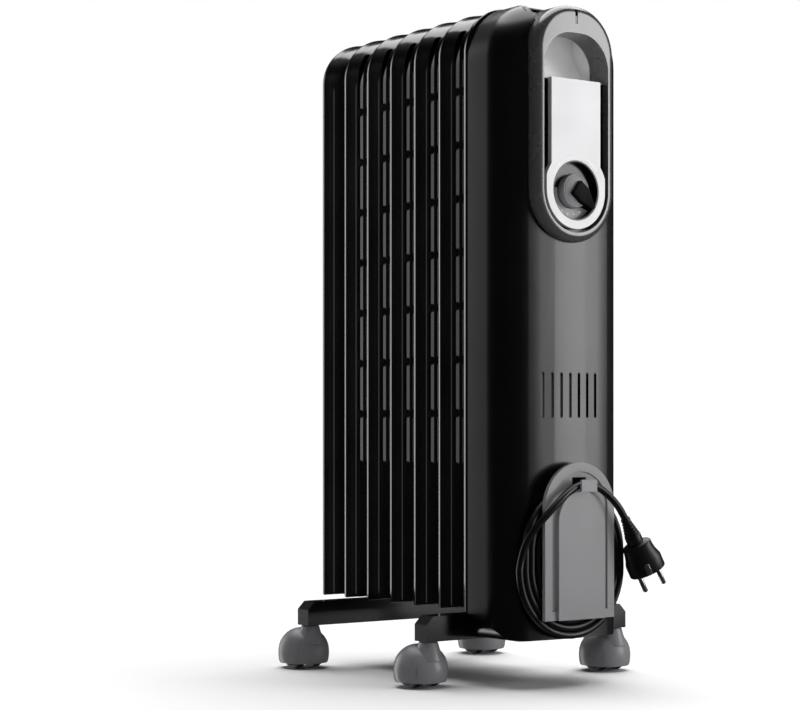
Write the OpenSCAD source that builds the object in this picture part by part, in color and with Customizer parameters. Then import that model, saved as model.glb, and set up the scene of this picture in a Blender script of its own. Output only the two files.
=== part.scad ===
// Oil filled radiator heater on four twin-wheel castors.
// +Z is up, the control side faces -Y, +X is right seen from the front.
// The origin is on the floor, under the middle of the heater's box.

/* [Oil elements] */
// Number of oil filled elements
element_count = 7; // [5:1:9]
// Distance from one element to the next
element_pitch = 40; // [34:1:50]
// Width of an element over its side flanges
element_w = 150; // [130:1:190]
// Height of the top of the elements above the floor
element_top = 650; // [600:1:800]
// Height of the bottom edge of the elements above the floor
element_bottom = 70.5; // [70:0.5:90]
// Radius of the two top corners of an element
top_corner_r = 56; // [45:1:62]
// Radius of the two bottom corners of an element
bottom_corner_r = 5; // [3:1:12]
// Depth of the side flange of an element
flange_d = 39.2; // [30:0.2:39.5]
// Sheet thickness of an element
element_wall = 0.8; // [0.7:0.1:1.5]
// Outer radius of the oil header bosses
header_r = 16; // [14:0.5:20]
// Bore radius of the oil headers
header_bore_r = 13; // [12:0.5:13.5]
// Height of the lower oil header
header_low_z = 112; // [108:1:130]
// Distance of the upper oil header below the top of the element
header_top_drop = 90; // [80:1:110]
// Radius of a vertical oil channel
channel_r = 7; // [5:0.5:9]
// Distance of an outer oil channel from the middle
channel_x = 38; // [30:1:45]

/* [Convection slots] */
// Distance between two slots of a column
slot_pitch = 51.4; // [45:0.1:60]
// Length of a convection slot
slot_len = 43.8; // [30:0.2:44]
// Width of a convection slot
slot_w = 6.4; // [4:0.2:8]
// Height of the lower end of the lowest slot
slot_z = 212; // [190:1:240]
// Number of slots in a column
slot_count = 8; // [5:1:8]
// Distance of the slot's middle behind the front fold of the flange
slot_y = 12.2; // [10:0.2:16]
// Width of the narrow slot beside the front fold
slit_w = 2; // [1.5:0.1:3]
// Distance of the narrow slot's middle behind the front fold
slit_y = 4.6; // [3.5:0.1:6]

/* [Front housing] */
// Distance of the rear edge of the housing behind the front panel
housing_d = 62; // [56:1:75]
// Height of the bottom of the housing above the floor
housing_bottom = 45.5; // [45:0.5:60]
// Sheet thickness of the housing
housing_wall = 1; // [0.8:0.1:1.5]
// Radius of the front-to-side corner of the housing
housing_edge_r = 32; // [24:1:36]
// Half width of the front panel between its creases
panel_half_w = 48.5; // [46:0.5:52]
// Distance of the panel creases behind the middle of the panel
panel_bulge = 3; // [1:0.5:5]
// Radius of the bottom corners of the housing
housing_foot_r = 18; // [10:1:24]
// Length of an air vent in the front panel
vent_len = 43; // [30:1:60]
// Width of an air vent
vent_w = 3.4; // [2.5:0.1:5]
// Distance between two air vents
vent_pitch = 10.9; // [8:0.1:12]
// Number of air vents
vent_count = 7; // [3:2:9]
// Height of the lower end of the air vents
vent_z = 255; // [240:1:340]

/* [Control unit] */
// Height of the knob axis above the floor
knob_z = 470; // [450:1:480]
// Half width of the control frame at the housing
frame_half_w = 49; // [46:0.5:52]
// Half width of the control frame at its front rim
rim_half_w = 40; // [38:0.5:43]
// Distance of the front rim in front of the front panel
frame_proud = 9; // [7:0.5:14]
// Height of the top of the handle arch
arch_top = 645; // [640:1:646]
// Height at which the sides of the control frame end
arch_spring = 616; // [608:1:620]
// Half width of the hand hold
grip_half_w = 36.5; // [34:0.5:38]
// Height of the lower edge of the hand hold
grip_z = 575; // [565:1:580]
// Height of the underside of the handle arch in the middle
grip_top = 614; // [608:1:618]
// Depth of the handle arch
arch_d = 26; // [20:1:30]
// Half width of the light fascia tongue
fascia_half_w = 30.4; // [28:0.2:32]
// Thickness of the fascia plate
fascia_t = 2.4; // [2:0.1:4]
// Radius of the round end of the fascia
fascia_r = 38.5; // [36:0.5:39.5]
// Radius of the dial well
well_r = 28.5; // [26:0.5:32]
// Depth of the dial well below the fascia
well_depth = 9; // [6:0.5:14]

/* [Thermostat knob] */
// Radius of the knob hub
hub_r = 16; // [13:0.5:18]
// Reach of the knob's pointer from its axis
pointer_reach = 26.5; // [22:0.5:26.5]
// Width of the pointer at the hub
pointer_w = 15; // [10:1:18]
// Angle of the pointer at rest, above the horizontal on the right
pointer_rest = -38; // [-60:1:0]
// Radius of the thermostat shaft
shaft_r = 3; // [2.5:0.25:4]
// Running clearance of a shaft in its bore
run_gap = 0.05; // [0.02:0.01:0.1]

/* [Cord store] */
// Half width of the cord store plate
store_half_w = 43; // [40:0.5:46]
// Height of the top of the cord store
store_top = 213; // [208:1:216]
// Height of the bottom of the cord store
store_bottom = 65; // [62:1:68]
// Distance of the plate's front in front of the front panel
store_proud = 12.5; // [12:0.5:14]
// Thickness of the cord store plate
store_t = 2.5; // [2:0.1:3]
// Half width of the raised middle of the cord store
cover_half_w = 28.5; // [26:0.5:30]
// Height of the raised middle above the plate
cover_rise = 4.5; // [3:0.5:6]
// Height of the top of the raised middle
cover_top = 186; // [180:1:190]
// Half width of the cord hook
hook_half_w = 9.5; // [8:0.5:12]
// Height of the shelf on which the cord lies
hook_z = 185.5; // [182:0.5:190]

/* [Mains cord] */
// Diameter of the mains cord
cord_d = 7; // [6:0.5:8]
// Height of the coil's upper middle
coil_high_z = 128; // [124:1:132]
// Height of the coil's lower middle
coil_low_z = 112; // [112:1:116]
// Offset of the coil from the middle of the heater
coil_x = -2; // [-4:0.5:0]
// Outer radius of the coil
coil_r = 68; // [66:0.5:70]
// Radius of the cord's middle line where it leaves the gland
first_turn_r = 38; // [37:0.5:39]
// Growth of the first turn
first_turn_growth = 9; // [8.5:0.1:10]

/* [Feet and castors] */
// Half length of a foot bar
foot_half_l = 125.4; // [110:0.2:160]
// Width of a foot bar
foot_w = 19; // [16:1:26]
// Height of the underside of a foot bar above the floor
foot_z = 44.5; // [44:0.1:60]
// Height of a foot bar
foot_h = 24; // [20:0.5:25]
// Sheet thickness of a foot bar
foot_wall = 2; // [1.5:0.1:3]
// Distance of a castor's stem from the end of its foot bar
stem_inset = 9; // [9:0.5:20]
// Radius of a castor's stem pin
stem_r = 4; // [3:0.25:6]
// Radius of a castor's neck
neck_r = 9; // [7:0.5:9.5]
// Distance of the wheel axle behind the stem
castor_trail = 12; // [8:0.5:16]
// Radius of a castor's hood
hood_r = 26; // [24:0.5:27]
// Radius of a castor wheel
wheel_r = 18; // [15:0.5:18]
// Width of a castor wheel
wheel_w = 8; // [5:0.5:9]
// Distance of a wheel's middle from the middle of its castor
wheel_x = 10.5; // [9:0.5:11]
// Radius of a castor's axle
axle_r = 2; // [1.5:0.25:3]

/* [Hidden] */
$fn = 72;

eps = 0.01;                          // overlap of a cutter past the face it opens
fit_gap = 0.4;                       // clearance between parts that slip over each other
half_w = element_w / 2;
hook_reach = store_proud + cord_d + 8;   // foremost point of the heater
flange_gap = element_pitch - flange_d;
first_core = housing_d - 12.4;       // middle of the first element behind the panel
rear_reach = first_core + (element_count - 1) * element_pitch + flange_d / 2;
face_y = (hook_reach - rear_reach) / 2;  // plane of the front panel
header_top_z = element_top - header_top_drop;
channel_low = header_low_z;
channel_high = header_top_z;
core_t = 2 * element_wall;
bottom_lip = 18;                     // width of flange left at each bottom corner
front_boss = 26;                     // reach of the first element's headers to the front
slot_depth = 8;                      // half reach of the slot cutters across the flange
corner_reach = 14;                   // the same for the top slot, on the rounded corner
slot_top = element_top - 22;         // top end of the top slot
rear_boss = 10;                      // reach of the last element's headers to the rear
plug_head = 5;                       // height of a header plug's hexagon
thread_len = 8;                      // length of a header plug's thread
rod_r = 4;                           // radius of the heating rod's sheath
rod_x_off = 6;                       // distance of the rod's legs from the header axis
flange_plate_t = 4;                  // thickness of the heater flange
gasket_t = 1;                        // thickness of the heater gasket

// Middle plane of element i, counted from the front
function element_y(i) = face_y + first_core + (i - 1) * element_pitch;
// Front fold of the side flange of element i
function fold_y(i) = element_y(i) - flange_d / 2;

// Turns a shape drawn in X and height so that it stands up and grows towards +Y from y0
module stand(y0, d) {
  translate([0, y0 + d, 0]) rotate([90, 0, 0]) linear_extrude(d) children();
}

// A cylinder along Y from y0 to y0 + d
module rod_y(x, y0, z, r, d) {
  translate([x, y0, z]) rotate([-90, 0, 0]) cylinder(r = r, h = d);
}

// A cylinder along X, centred on x
module rod_x(x, y, z, r, w) {
  translate([x - w / 2, y, z]) rotate([0, 90, 0]) cylinder(r = r, h = w);
}

// Front view outline of an element, drawn inset by t
module element_outline(t) {
  cr = top_corner_r - t;
  cx = half_w - top_corner_r;
  cz = element_top - top_corner_r;
  br = bottom_corner_r;
  bx = half_w - t - br;
  for (s = [-1, 1]) {
    translate([s * cx, cz]) circle(cr, $fn = 144);
    translate([s * bx, element_bottom + t + br]) circle(br);
  }
  translate([-cx, cz]) square([2 * cx, cr]);
  translate([-half_w + t, element_bottom + t + br]) square([2 * (half_w - t), cz - element_bottom - t - br]);
  translate([-bx, element_bottom + t]) square([2 * bx, br + eps]);
}

// Ring of flange sheet around an element, from y0 and d deep
module flange_ring(y0, d, inset) {
  difference() {
    stand(y0, d) element_outline(inset);
    stand(y0 - 1, d + 2) element_outline(inset + element_wall);
    bottom_opening(y0, d);
  }
}

// Gap in the bottom of a flange, where the air enters
module bottom_opening(y0, d) {
  x = half_w - bottom_lip;
  translate([-x, y0 - 1, element_bottom - 1]) cube([2 * x, d + 2, bottom_corner_r + 5]);
}

// The slots in both side flanges of an element whose front fold is at y; the top one runs up the corner
module slot_cutters(y) {
  for (s = [-1, 1], k = [0:slot_count - 1]) {
    top_one = k == slot_count - 1;
    z0 = slot_z + k * slot_pitch;
    z1 = top_one ? slot_top : z0 + slot_len;
    w = top_one ? corner_reach : slot_depth;
    xm = s * (half_w - w + slot_depth / 2);
    for (z = [z0 + slot_w / 2, z1 - slot_w / 2]) rod_x(xm, y + slot_y, z, slot_w / 2, 2 * w);
    translate([xm - w, y + slot_y - slot_w / 2, z0 + slot_w / 2]) cube([2 * w, slot_w, z1 - z0 - slot_w]);
    translate([xm - w, y + slit_y - slit_w / 2, z0 + slit_w]) cube([2 * w, slit_w, z1 - z0 - 2 * slit_w]);
  }
}

// Oil space of an element: headers and vertical channels, swelled by t
module oil_space(y, t) {
  for (x = [-channel_x, 0, channel_x])
    translate([x, y, channel_low]) cylinder(r = channel_r + t, h = channel_high - channel_low);
  for (z = [channel_low, channel_high])
    rod_x(0, y, z, channel_r + t, 2 * channel_x);
  for (z = [channel_low, channel_high])
    for (x = [-channel_x, channel_x])
      translate([x, y, z]) sphere(channel_r + t);
}

// Rear part of the first element's flange, over which the housing slips
module lapped_flange(y) {
  lap_y = face_y + housing_d + fit_gap;
  inset = housing_wall + fit_gap;
  flange_ring(y - core_t / 2, lap_y - y + core_t / 2 + eps, inset);
  difference() {
    stand(lap_y, y + flange_d / 2 - lap_y) element_outline(0);
    stand(y, element_pitch) element_outline(inset + element_wall);
    bottom_opening(lap_y, element_pitch);
  }
}

// One element: welded shells with oil channels, headers and a folded flange
module element(i) {
  y = element_y(i);
  boss = i == 1 ? front_boss : element_pitch / 2;
  tail = i == element_count ? rear_boss : element_pitch / 2;
  slotted = i > 1 && i < element_count;
  difference() {
    union() {
      difference() {
        union() {
          stand(y - core_t / 2, core_t) element_outline(i == 1 ? 2 : 0.2);
          if (i == 1) lapped_flange(y);
          else flange_ring(y - flange_d / 2, flange_d, 0);
        }
        if (slotted) slot_cutters(fold_y(i));
      }
      oil_space(y, element_wall);
      for (z = [header_low_z, header_top_z])
        rod_y(0, y - boss, z, header_r, boss + tail);
    }
    oil_space(y, 0);
    for (z = [header_low_z, header_top_z])
      rod_y(0, y - boss - 1, z, header_bore_r, boss + tail + 2);
  }
}

last_face = element_y(element_count) + rear_boss;
first_face = element_y(1) - front_boss;

// Screwed plug with a hexagon head, closing a header at y; dir is the way its head faces
module header_plug(z, y, dir) {
  rod_y(0, dir > 0 ? y - thread_len : y, z, header_bore_r, thread_len);
  translate([0, dir > 0 ? y : y - plug_head, z]) rotate([-90, 0, 0])
    cylinder(r = header_r + 1, h = plug_head, $fn = 6);
}

module lower_blind_plug() color("#1a1a1a") header_plug(header_low_z, last_face, 1);
module upper_blind_plug() color("#1a1a1a") header_plug(header_top_z, last_face, 1);
module front_header_plug() color("#1a1a1a") header_plug(header_top_z, first_face, -1);

// Small filler screw in the upper blind plug
module filler_plug() color("#8a8a88")
  translate([0, last_face + plug_head, header_top_z]) rotate([-90, 0, 0]) cylinder(r = 5, h = 3, $fn = 6);

// U of sheathed rod in the lower header
module heating_rod() color("#b08d57") {
  y0 = first_face - gasket_t - flange_plate_t - 14;
  y1 = last_face - 30;
  for (s = [-1, 1]) rod_y(s * rod_x_off, y0, header_low_z, rod_r, y1 - y0);
  translate([0, y1, header_low_z])
    rotate_extrude(angle = 180) translate([rod_x_off, 0]) circle(rod_r, $fn = 32);
}

module heater_gasket() color("#30302e") difference() {
  rod_y(0, first_face - gasket_t, header_low_z, header_r + 4, gasket_t);
  rod_y(0, first_face - 2 * gasket_t, header_low_z, header_bore_r, 3 * gasket_t);
}

module heater_flange() color("#9a9a98") difference() {
  union() {
    rod_y(0, first_face - gasket_t - flange_plate_t, header_low_z, header_r + 4, flange_plate_t);
    rod_y(0, first_face - gasket_t - flange_plate_t - 5, header_low_z, header_r - 2, 5 + eps);
  }
  for (s = [-1, 1]) rod_y(s * rod_x_off, first_face - 20, header_low_z, rod_r, 30);
}

// Distance of the slightly crowned front panel behind its middle at x
function panel_y(x) = panel_bulge * pow(x / panel_half_w, 2);

corner_x = half_w - top_corner_r;    // axis of the top corners
corner_z = element_top - top_corner_r;
arc_s = top_corner_r - housing_edge_r;   // middle of the edge rounding, out from the corner axis
crease_s = panel_half_w - corner_x;
arc_y = panel_bulge + sqrt(pow(housing_edge_r, 2) - pow(crease_s - arc_s, 2));
crease_angle = acos((crease_s - arc_s) / housing_edge_r);

// Section through the edge of the housing, x outward from the corner axis and y backward, inset by t
module edge_profile(t) {
  r = housing_edge_r - t;
  back = housing_d + (t > 0 ? 1 : 0);
  steps = 16;
  polygon(concat(
    [[0, panel_y(corner_x) + t], [0, back], [top_corner_r - t, back]],
    [for (k = [0:steps]) let (a = crease_angle * k / steps) [arc_s + r * cos(a), arc_y - r * sin(a)]]));
}

// Form of the housing before its bottom corners are rounded, inset by t
module housing_form(t) {
  z0 = housing_bottom + t;
  back = housing_d + (t > 0 ? 1 : 0);
  steps = 12;
  for (s = [0, 1]) mirror([s, 0, 0]) {
    translate([corner_x, face_y, z0]) linear_extrude(corner_z - z0) edge_profile(t);
    translate([corner_x, face_y, corner_z]) rotate([-90, 0, 0]) rotate([0, 0, -90])
      rotate_extrude(angle = 90, $fn = 144) edge_profile(t);
  }
  translate([-corner_x, face_y, corner_z]) rotate([90, 0, 90]) linear_extrude(2 * corner_x)
    mirror([1, -1]) edge_profile(t);
  translate([0, face_y, z0]) linear_extrude(corner_z - z0 + eps) polygon(concat(
    [[corner_x, back], [-corner_x, back]],
    [for (k = [0:steps]) let (x = corner_x * (2 * k / steps - 1)) [x, panel_y(x) + t]]));
}

// Housing form with rounded bottom corners, inset by t
module housing_solid(t) {
  x = half_w - housing_foot_r;
  z = housing_bottom + housing_foot_r;
  intersection() {
    housing_form(t);
    stand(face_y - 5, housing_d + 10) {
      for (s = [-1, 1]) translate([s * x, z]) circle(housing_foot_r - t);
      translate([-x, housing_bottom + t]) square([2 * x, housing_foot_r]);
      translate([-half_w + t, z]) square([2 * (half_w - t), element_top]);
    }
  }
}

arch_half = frame_half_w;
arch_rise = arch_top - arch_spring;
arch_r = (pow(arch_half, 2) + pow(arch_rise, 2)) / (2 * arch_rise);
arch_z = arch_top - arch_r;          // middle of the handle arch
arch_back = arch_d - frame_proud;    // rear of the handle arch behind the front panel
pocket_back = first_core - core_t / 2 - 4;   // rear of the hand hold's pocket
lip = frame_half_w - rim_half_w;     // width of the frame's bevelled edge
window_r = 34;                       // window in the panel behind the controls
arch_side = 17;                      // drop of the arch's underside at the sides of the hand hold
screw_r = 2;
screw_places = [[-24, 94], [24, 94], [-24, 158], [24, 158]];
screw_end = 2;                       // reach of a screw's end into the plate's raised middle

// Front view of the control frame, inset by t
module frame_outline(t) {
  w = frame_half_w - t;
  translate([0, knob_z]) circle(w, $fn = 144);
  translate([-w, knob_z]) square([2 * w, arch_spring - knob_z]);
  intersection() {
    translate([0, arch_z]) circle(arch_r - t, $fn = 144);
    translate([-w, arch_spring - 1]) square([2 * w, arch_r]);
  }
}

// Front view of the hand hold
module grip_outline() {
  side_z = grip_top - arch_side;
  r = (pow(grip_half_w, 2) + pow(arch_side, 2)) / (2 * arch_side);
  translate([-grip_half_w, grip_z]) square([2 * grip_half_w, side_z - grip_z]);
  intersection() {
    translate([0, grip_top - r]) circle(r, $fn = 144);
    translate([-grip_half_w, side_z - 1]) square([2 * grip_half_w, arch_side + 1]);
  }
}

module front_housing() color("#161616") difference() {
  housing_solid(0);
  housing_solid(housing_wall);
  for (k = [0:vent_count - 1]) {
    x = (k - (vent_count - 1) / 2) * vent_pitch;
    for (z = [vent_z + vent_w / 2, vent_z + vent_len - vent_w / 2]) rod_y(x, face_y - 5, z, vent_w / 2, 20);
    translate([x - vent_w / 2, face_y - 5, vent_z + vent_w / 2]) cube([vent_w, 20, vent_len - vent_w]);
  }
  rod_y(0, face_y - 5, knob_z, window_r, 20);
  translate([-window_r, face_y - 5, knob_z]) cube([2 * window_r, 20, grip_z - knob_z]);
  // seat of the handle arch and the slot behind it
  intersection() {
    stand(face_y - 5, arch_back + 5 + fit_gap) frame_outline(-fit_gap);
    translate([-half_w, face_y - 10, grip_z - 3]) cube([element_w, housing_d, 200]);
  }
  translate([-grip_half_w, face_y, grip_z]) cube([2 * grip_half_w, pocket_back, 100]);
  for (p = screw_places) rod_y(p[0], face_y - 5, p[1], screw_r, 20);
  foot_space(1);
}

// Bevelled section of the control frame, x outward from its inner wall's axis r and y backward
module bevel_profile(r, inner) {
  polygon([[inner, -frame_proud], [r - lip, -frame_proud], [r - lip / 3, -frame_proud / 2.2],
    [r, -1], [r, panel_bulge + 1], [inner, panel_bulge + 1]]);
}

// Ring of the control frame in front of the panel
module frame_ring() {
  inner = grip_half_w;
  translate([0, face_y, knob_z]) rotate([-90, 0, 0]) rotate_extrude(angle = 180) bevel_profile(frame_half_w, inner);
  for (s = [0, 1]) mirror([s, 0, 0])
    translate([0, face_y, knob_z]) linear_extrude(arch_spring - knob_z) bevel_profile(frame_half_w, inner);
}

// The handle arch with its bevelled front
module arch() {
  difference() {
    intersection() {
      union() {
        translate([0, face_y, arch_z]) rotate([-90, 0, 0]) rotate_extrude($fn = 144) bevel_profile(arch_r, 0);
        stand(face_y, arch_back) translate([0, arch_z]) circle(arch_r, $fn = 144);
      }
      translate([-arch_half, face_y - 20, arch_spring]) cube([2 * arch_half, 60, 60]);
    }
    stand(face_y - 20, 60) grip_outline();
  }
}

// Cheeks of the handle behind the panel, beside the hand hold
module cheeks() {
  stand(face_y - 1, arch_back + 1) difference() {
    translate([-frame_half_w, grip_z]) square([2 * frame_half_w, arch_spring - grip_z + eps]);
    grip_outline();
    translate([-grip_half_w, grip_z - 5]) square([2 * grip_half_w, 20]);
  }
}

floor_y = -3;                        // front of the frame's floor, ahead of the panel's middle
floor_t = 1.6;
lens_w = 2.6;
lens_low = arch_top - 17;
lens_top = arch_top - lip / 3 - 1;
lens_back = -2;
lamp_r = 2.5;
lamp_len = 12;

// Bevel-topped bar in which the pilot window sits, grown by g
module lens_form(g) {
  front = 0.4 - frame_proud - 5 * g;
  bevel = 0.4 - frame_proud / 2 - 5 * g;
  across(-lens_w / 2 - g, lens_w + 2 * g) polygon([[front, lens_low - g], [front, arch_top - lip - 1],
    [bevel, lens_top + g], [lens_back, lens_top + g], [lens_back, lens_low - g]]);
}

module control_frame() color("#8d8d8d") difference() {
  union() {
    difference() {
      frame_ring();
      housing_form(0);
    }
    cheeks();
    arch();
    difference() {
      stand(face_y + floor_y, floor_t) difference() {
        frame_outline(frame_half_w - grip_half_w - eps);
        translate([-60, grip_z]) square([120, 200]);
      }
      rod_y(0, face_y - 10, knob_z, well_r, 20);
    }
    stand(face_y + floor_y, -floor_y) translate([-grip_half_w - eps, grip_z - 2]) square([2 * grip_half_w + 2 * eps, 2]);
  }
  lens_form(0.1);
  rod_y(0, face_y + lens_back - 1, arch_top - lip - 4, lamp_r, lamp_len + 1);
}

module pilot_lens() color("#2a1210") lens_form(0);
module pilot_lamp() color("#c96a3a") rod_y(0, face_y + lens_back, arch_top - lip - 4, lamp_r, lamp_len);

liner_t = 1.4;
liner_d = pocket_back - fit_gap;     // depth of the hand hold's liner
liner_top = element_top - 6;

// Quarter arc of radius r in side view, from under the hand hold to its back
function scoop_arc(r) = [for (a = [0:5:90]) [r * sin(a), grip_z + liner_d - r * cos(a)]];
function reversed(p) = [for (i = [len(p) - 1:-1:0]) p[i]];

// Turns a shape drawn in depth and height so that it spans X from x0, w wide
module across(x0, w) {
  translate([x0, face_y, 0]) rotate([90, 0, 90]) linear_extrude(w) children();
}

// Pale scoop that lines the hand hold and opens upwards behind the arch
module grip_liner() color("#d8d8d6") {
  w = grip_half_w - fit_gap;
  cheek_z = grip_top - arch_side - 1;
  across(-w, 2 * w) polygon(concat(scoop_arc(liner_d), [[liner_d, liner_top], [liner_d - liner_t, liner_top]],
    reversed(scoop_arc(liner_d - liner_t))));
  for (x = [-w, w - liner_t]) across(x, liner_t) polygon(concat(scoop_arc(liner_d),
    [[liner_d, liner_top], [arch_back + fit_gap, liner_top], [arch_back + fit_gap, cheek_z], [0, cheek_z]]));
}

// Front view of the fascia, inset by t
module fascia_outline(t) {
  translate([0, knob_z]) circle(fascia_r - t, $fn = 144);
  translate([-fascia_half_w + t, knob_z]) square([2 * (fascia_half_w - t), grip_z - knob_z - t]);
}

fascia_y = face_y - frame_proud + 0.6;
fascia_skirt = 1.6;
module fascia() color("#d4d4d2") difference() {
  stand(fascia_y, face_y + floor_y - fascia_y) intersection() {
    fascia_outline(0);
    frame_outline(frame_half_w - grip_half_w + 0.2);
  }
  stand(fascia_y + fascia_t, 20) difference() {
    intersection() {
      fascia_outline(fascia_skirt);
      frame_outline(frame_half_w - grip_half_w + fascia_skirt);
    }
    translate([0, knob_z]) circle(well_r + fascia_skirt);
  }
  rod_y(0, fascia_y - 1, knob_z, well_r, 20);
}

well_wall = 1.2;
well_floor = fascia_y + well_depth;
module dial_well() color("#2b2b2b") difference() {
  rod_y(0, fascia_y + 0.5, knob_z, well_r, well_depth - 0.5 + well_wall);
  rod_y(0, fascia_y, knob_z, well_r - well_wall, well_depth);
  rod_y(0, fascia_y, knob_z, shaft_r + 1.5, 40);
}

ring_t = 0.8;
module dial_ring() color("#8a8a8a") difference() {
  rod_y(0, well_floor - ring_t, knob_z, well_r - well_wall, ring_t);
  rod_y(0, well_floor - 5, knob_z, hub_r + 0.6, 10);
}

thermostat_y = face_y + 9;
thermostat_d = 13;
bracket_y = thermostat_y + thermostat_d;
bracket_t = 2;
module thermostat() color("#c9b48a") difference() {
  union() {
    translate([-20, thermostat_y, knob_z - 16]) cube([40, thermostat_d, 32]);
    rod_y(0, well_floor + well_wall, knob_z, shaft_r + 3, thermostat_y - well_floor - well_wall + eps);
  }
  rod_y(0, face_y - 10, knob_z, shaft_r + run_gap, 10 + 9 + thermostat_d - 3);
}

knob_front = fascia_y - 6.5;
shaft_front = knob_front + 4;
module thermostat_shaft() color("#b9a05a")
  rod_y(0, shaft_front, knob_z, shaft_r, thermostat_y + thermostat_d - 4 - shaft_front);

// Domed hub with a wedge shaped pointer
module knob() color("#6f6f6f") difference() {
  union() {
    rod_y(0, knob_front + 3, knob_z, hub_r, well_floor - 0.5 - knob_front - 3);
    rod_y(0, knob_front + 1.2, knob_z, hub_r - 2, 2);
    rod_y(0, knob_front, knob_z, hub_r - 5, 2);
    stand(knob_front - 1, well_floor - knob_front - 1) translate([0, knob_z]) rotate(pointer_rest)
      polygon([[-hub_r * 0.55, pointer_w / 2], [-hub_r * 0.55, -pointer_w / 2], [hub_r * 0.6, -pointer_w / 2],
        [pointer_reach, -1.5], [pointer_reach, 1.5], [hub_r * 0.6, pointer_w / 2]]);
  }
  rod_y(0, shaft_front, knob_z, shaft_r, 40);
}

// Sheet bracket between the first element and the controls
bracket_low = 180;
bracket_high = knob_z + 20;
module mounting_bracket() color("#8f8f8d") difference() {
  tab = first_core - core_t / 2 - (bracket_y - face_y);
  union() {
    translate([-26, bracket_y, bracket_low]) cube([52, bracket_t, bracket_high - bracket_low]);
    for (z = [bracket_low, bracket_high - bracket_t]) translate([-26, bracket_y, z]) cube([52, tab, bracket_t]);
  }
  for (x = [-channel_x, 0, channel_x])
    translate([x, element_y(1), 0]) cylinder(r = channel_r + element_wall, h = element_top);
}

module terminal_block() color("#e4e0d2") difference() {
  translate([-20, bracket_y - 11, 215]) cube([40, 11, 22]);
  for (x = [-12, 0, 12]) rod_y(x, bracket_y - 12, 226, 3, 7);
}

module thermal_cutout() color("#4a4a48") {
  rod_y(19, element_y(1) - core_t / 2 - 7, 330, 8, 7);
  translate([11, element_y(1) - core_t / 2 - 5, 328]) cube([16, 2, 4]);
}

// Outward spiral of the wound cord: middle line after t turns from the gland
function turn_r(t) = first_turn_r + first_turn_growth * t;

// Point of the hub's outline after t turns, drawn in by gap
function hub_point(t, gap) = let (a = -360 * t, r = turn_r(t) - cord_d / 2 - gap)
  [coil_x + r * cos(a), (t <= 0.5 ? coil_low_z : coil_high_z) + r * sin(a)];

// Outline of the hub on which the cord is wound, with a step for the gland
module hub_outline(gap) {
  steps = 36;
  r0 = turn_r(0) - cord_d / 2 - gap;
  polygon(concat([[coil_x + r0, coil_high_z]], [for (k = [0:steps]) hub_point(k / steps, gap)]));
}

cord_y = face_y - 5;                 // plane of the wound cord
gland_len = 14;
gland_r = cord_d / 2 + 1;
gland_in = 12;
gland_x = coil_x + first_turn_r;
plate_back = face_y - store_proud + store_t;
cord_gap = 0.3;

module cord_hub() color("#3a3a3a") difference() {
  stand(plate_back, store_proud - store_t + panel_bulge) difference() {
    hub_outline(cord_gap);
    intersection() {
      hub_outline(cord_gap + 2);
      translate([-60, coil_low_z - 10]) square([120, 4 * gland_in]);
      translate([coil_x - 20, 0]) square([40 - gland_r, 400]);
    }
  }
  housing_form(0);
  translate([gland_x, cord_y, coil_high_z - 1]) cylinder(r = gland_r, h = gland_in + 1);
  for (p = screw_places) rod_y(p[0], face_y - 20, p[1], screw_r, 40);
}

module cord_gland() color("#1c1c1c") difference() {
  translate([gland_x, cord_y, coil_high_z - gland_len]) cylinder(r = gland_r, h = gland_len + gland_in);
  translate([gland_x, cord_y, coil_high_z - gland_len - 1]) cylinder(r = cord_d / 2, h = gland_len + gland_in + 2);
}

module cord_coil() color("#0c0c0c") difference() {
  stand(cord_y - cord_d / 2 - cord_gap, cord_d + 2 * cord_gap) difference() {
    union() {
      for (z = [coil_low_z, coil_high_z]) translate([coil_x, z]) circle(coil_r, $fn = 144);
      translate([coil_x - coil_r, coil_low_z]) square([2 * coil_r, coil_high_z - coil_low_z]);
    }
    hub_outline(0);
    translate([gland_x - gland_r - 1, coil_high_z - gland_len])
      square([2 * gland_r + 2, gland_len + gland_in + 2]);
  }
  at_plug() translate([0, 0, -relief_len - plug_len - 1]) cylinder(r = plug_r + 1, h = plug_len + 2);
}

// Arched outline of the cord store, inset by t
module store_outline(t) {
  r = store_half_w - t;
  translate([0, store_top - store_half_w]) circle(r, $fn = 144);
  translate([-r, store_bottom + t]) square([2 * r, store_top - store_half_w - store_bottom - t]);
}

rim_rise = 1.5;                      // height of the plate's raised border
rim_w = 8.5;
cover_bottom = store_bottom + 6;
chamfer = 7;
hook_t = 2.4;
hook_window = 11;
plate_y = face_y - store_proud;

// Raised middle of the cord store with a sloping lower end
module store_cover() {
  r = cover_half_w;
  z = cover_top - r;
  difference() {
    stand(plate_y - cover_rise, cover_rise + eps) {
      translate([0, z]) circle(r, $fn = 96);
      translate([-r, store_bottom]) square([2 * r, z - store_bottom]);
    }
    translate([-60, plate_y - cover_rise, cover_bottom]) rotate([-50, 0, 0]) translate([0, -20, -20])
      cube([120, 20, 20]);
  }
}

module cord_plate() color("#8c8c8c") difference() {
  union() {
    stand(plate_y, store_t) store_outline(0);
    stand(plate_y - rim_rise, rim_rise + eps) difference() {
      store_outline(0);
      store_outline(rim_w);
    }
    store_cover();
    hook();
  }
  translate([-hook_half_w + 1, plate_y - 1, hook_z + hook_t]) cube([2 * hook_half_w - 2, store_t + 2, hook_window]);
  for (p = screw_places) rod_y(p[0], plate_y - screw_end, p[1], screw_r, 2 * store_t + screw_end);
}

// Hook that holds the end of the cord
module hook() {
  reach = hook_reach - store_proud;
  translate([-hook_half_w, face_y - hook_reach, hook_z]) cube([2 * hook_half_w, reach + eps, hook_t]);
  translate([-hook_half_w, face_y - hook_reach, hook_z]) cube([2 * hook_half_w, hook_t, hook_t + cord_d + 2]);
}

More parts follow.
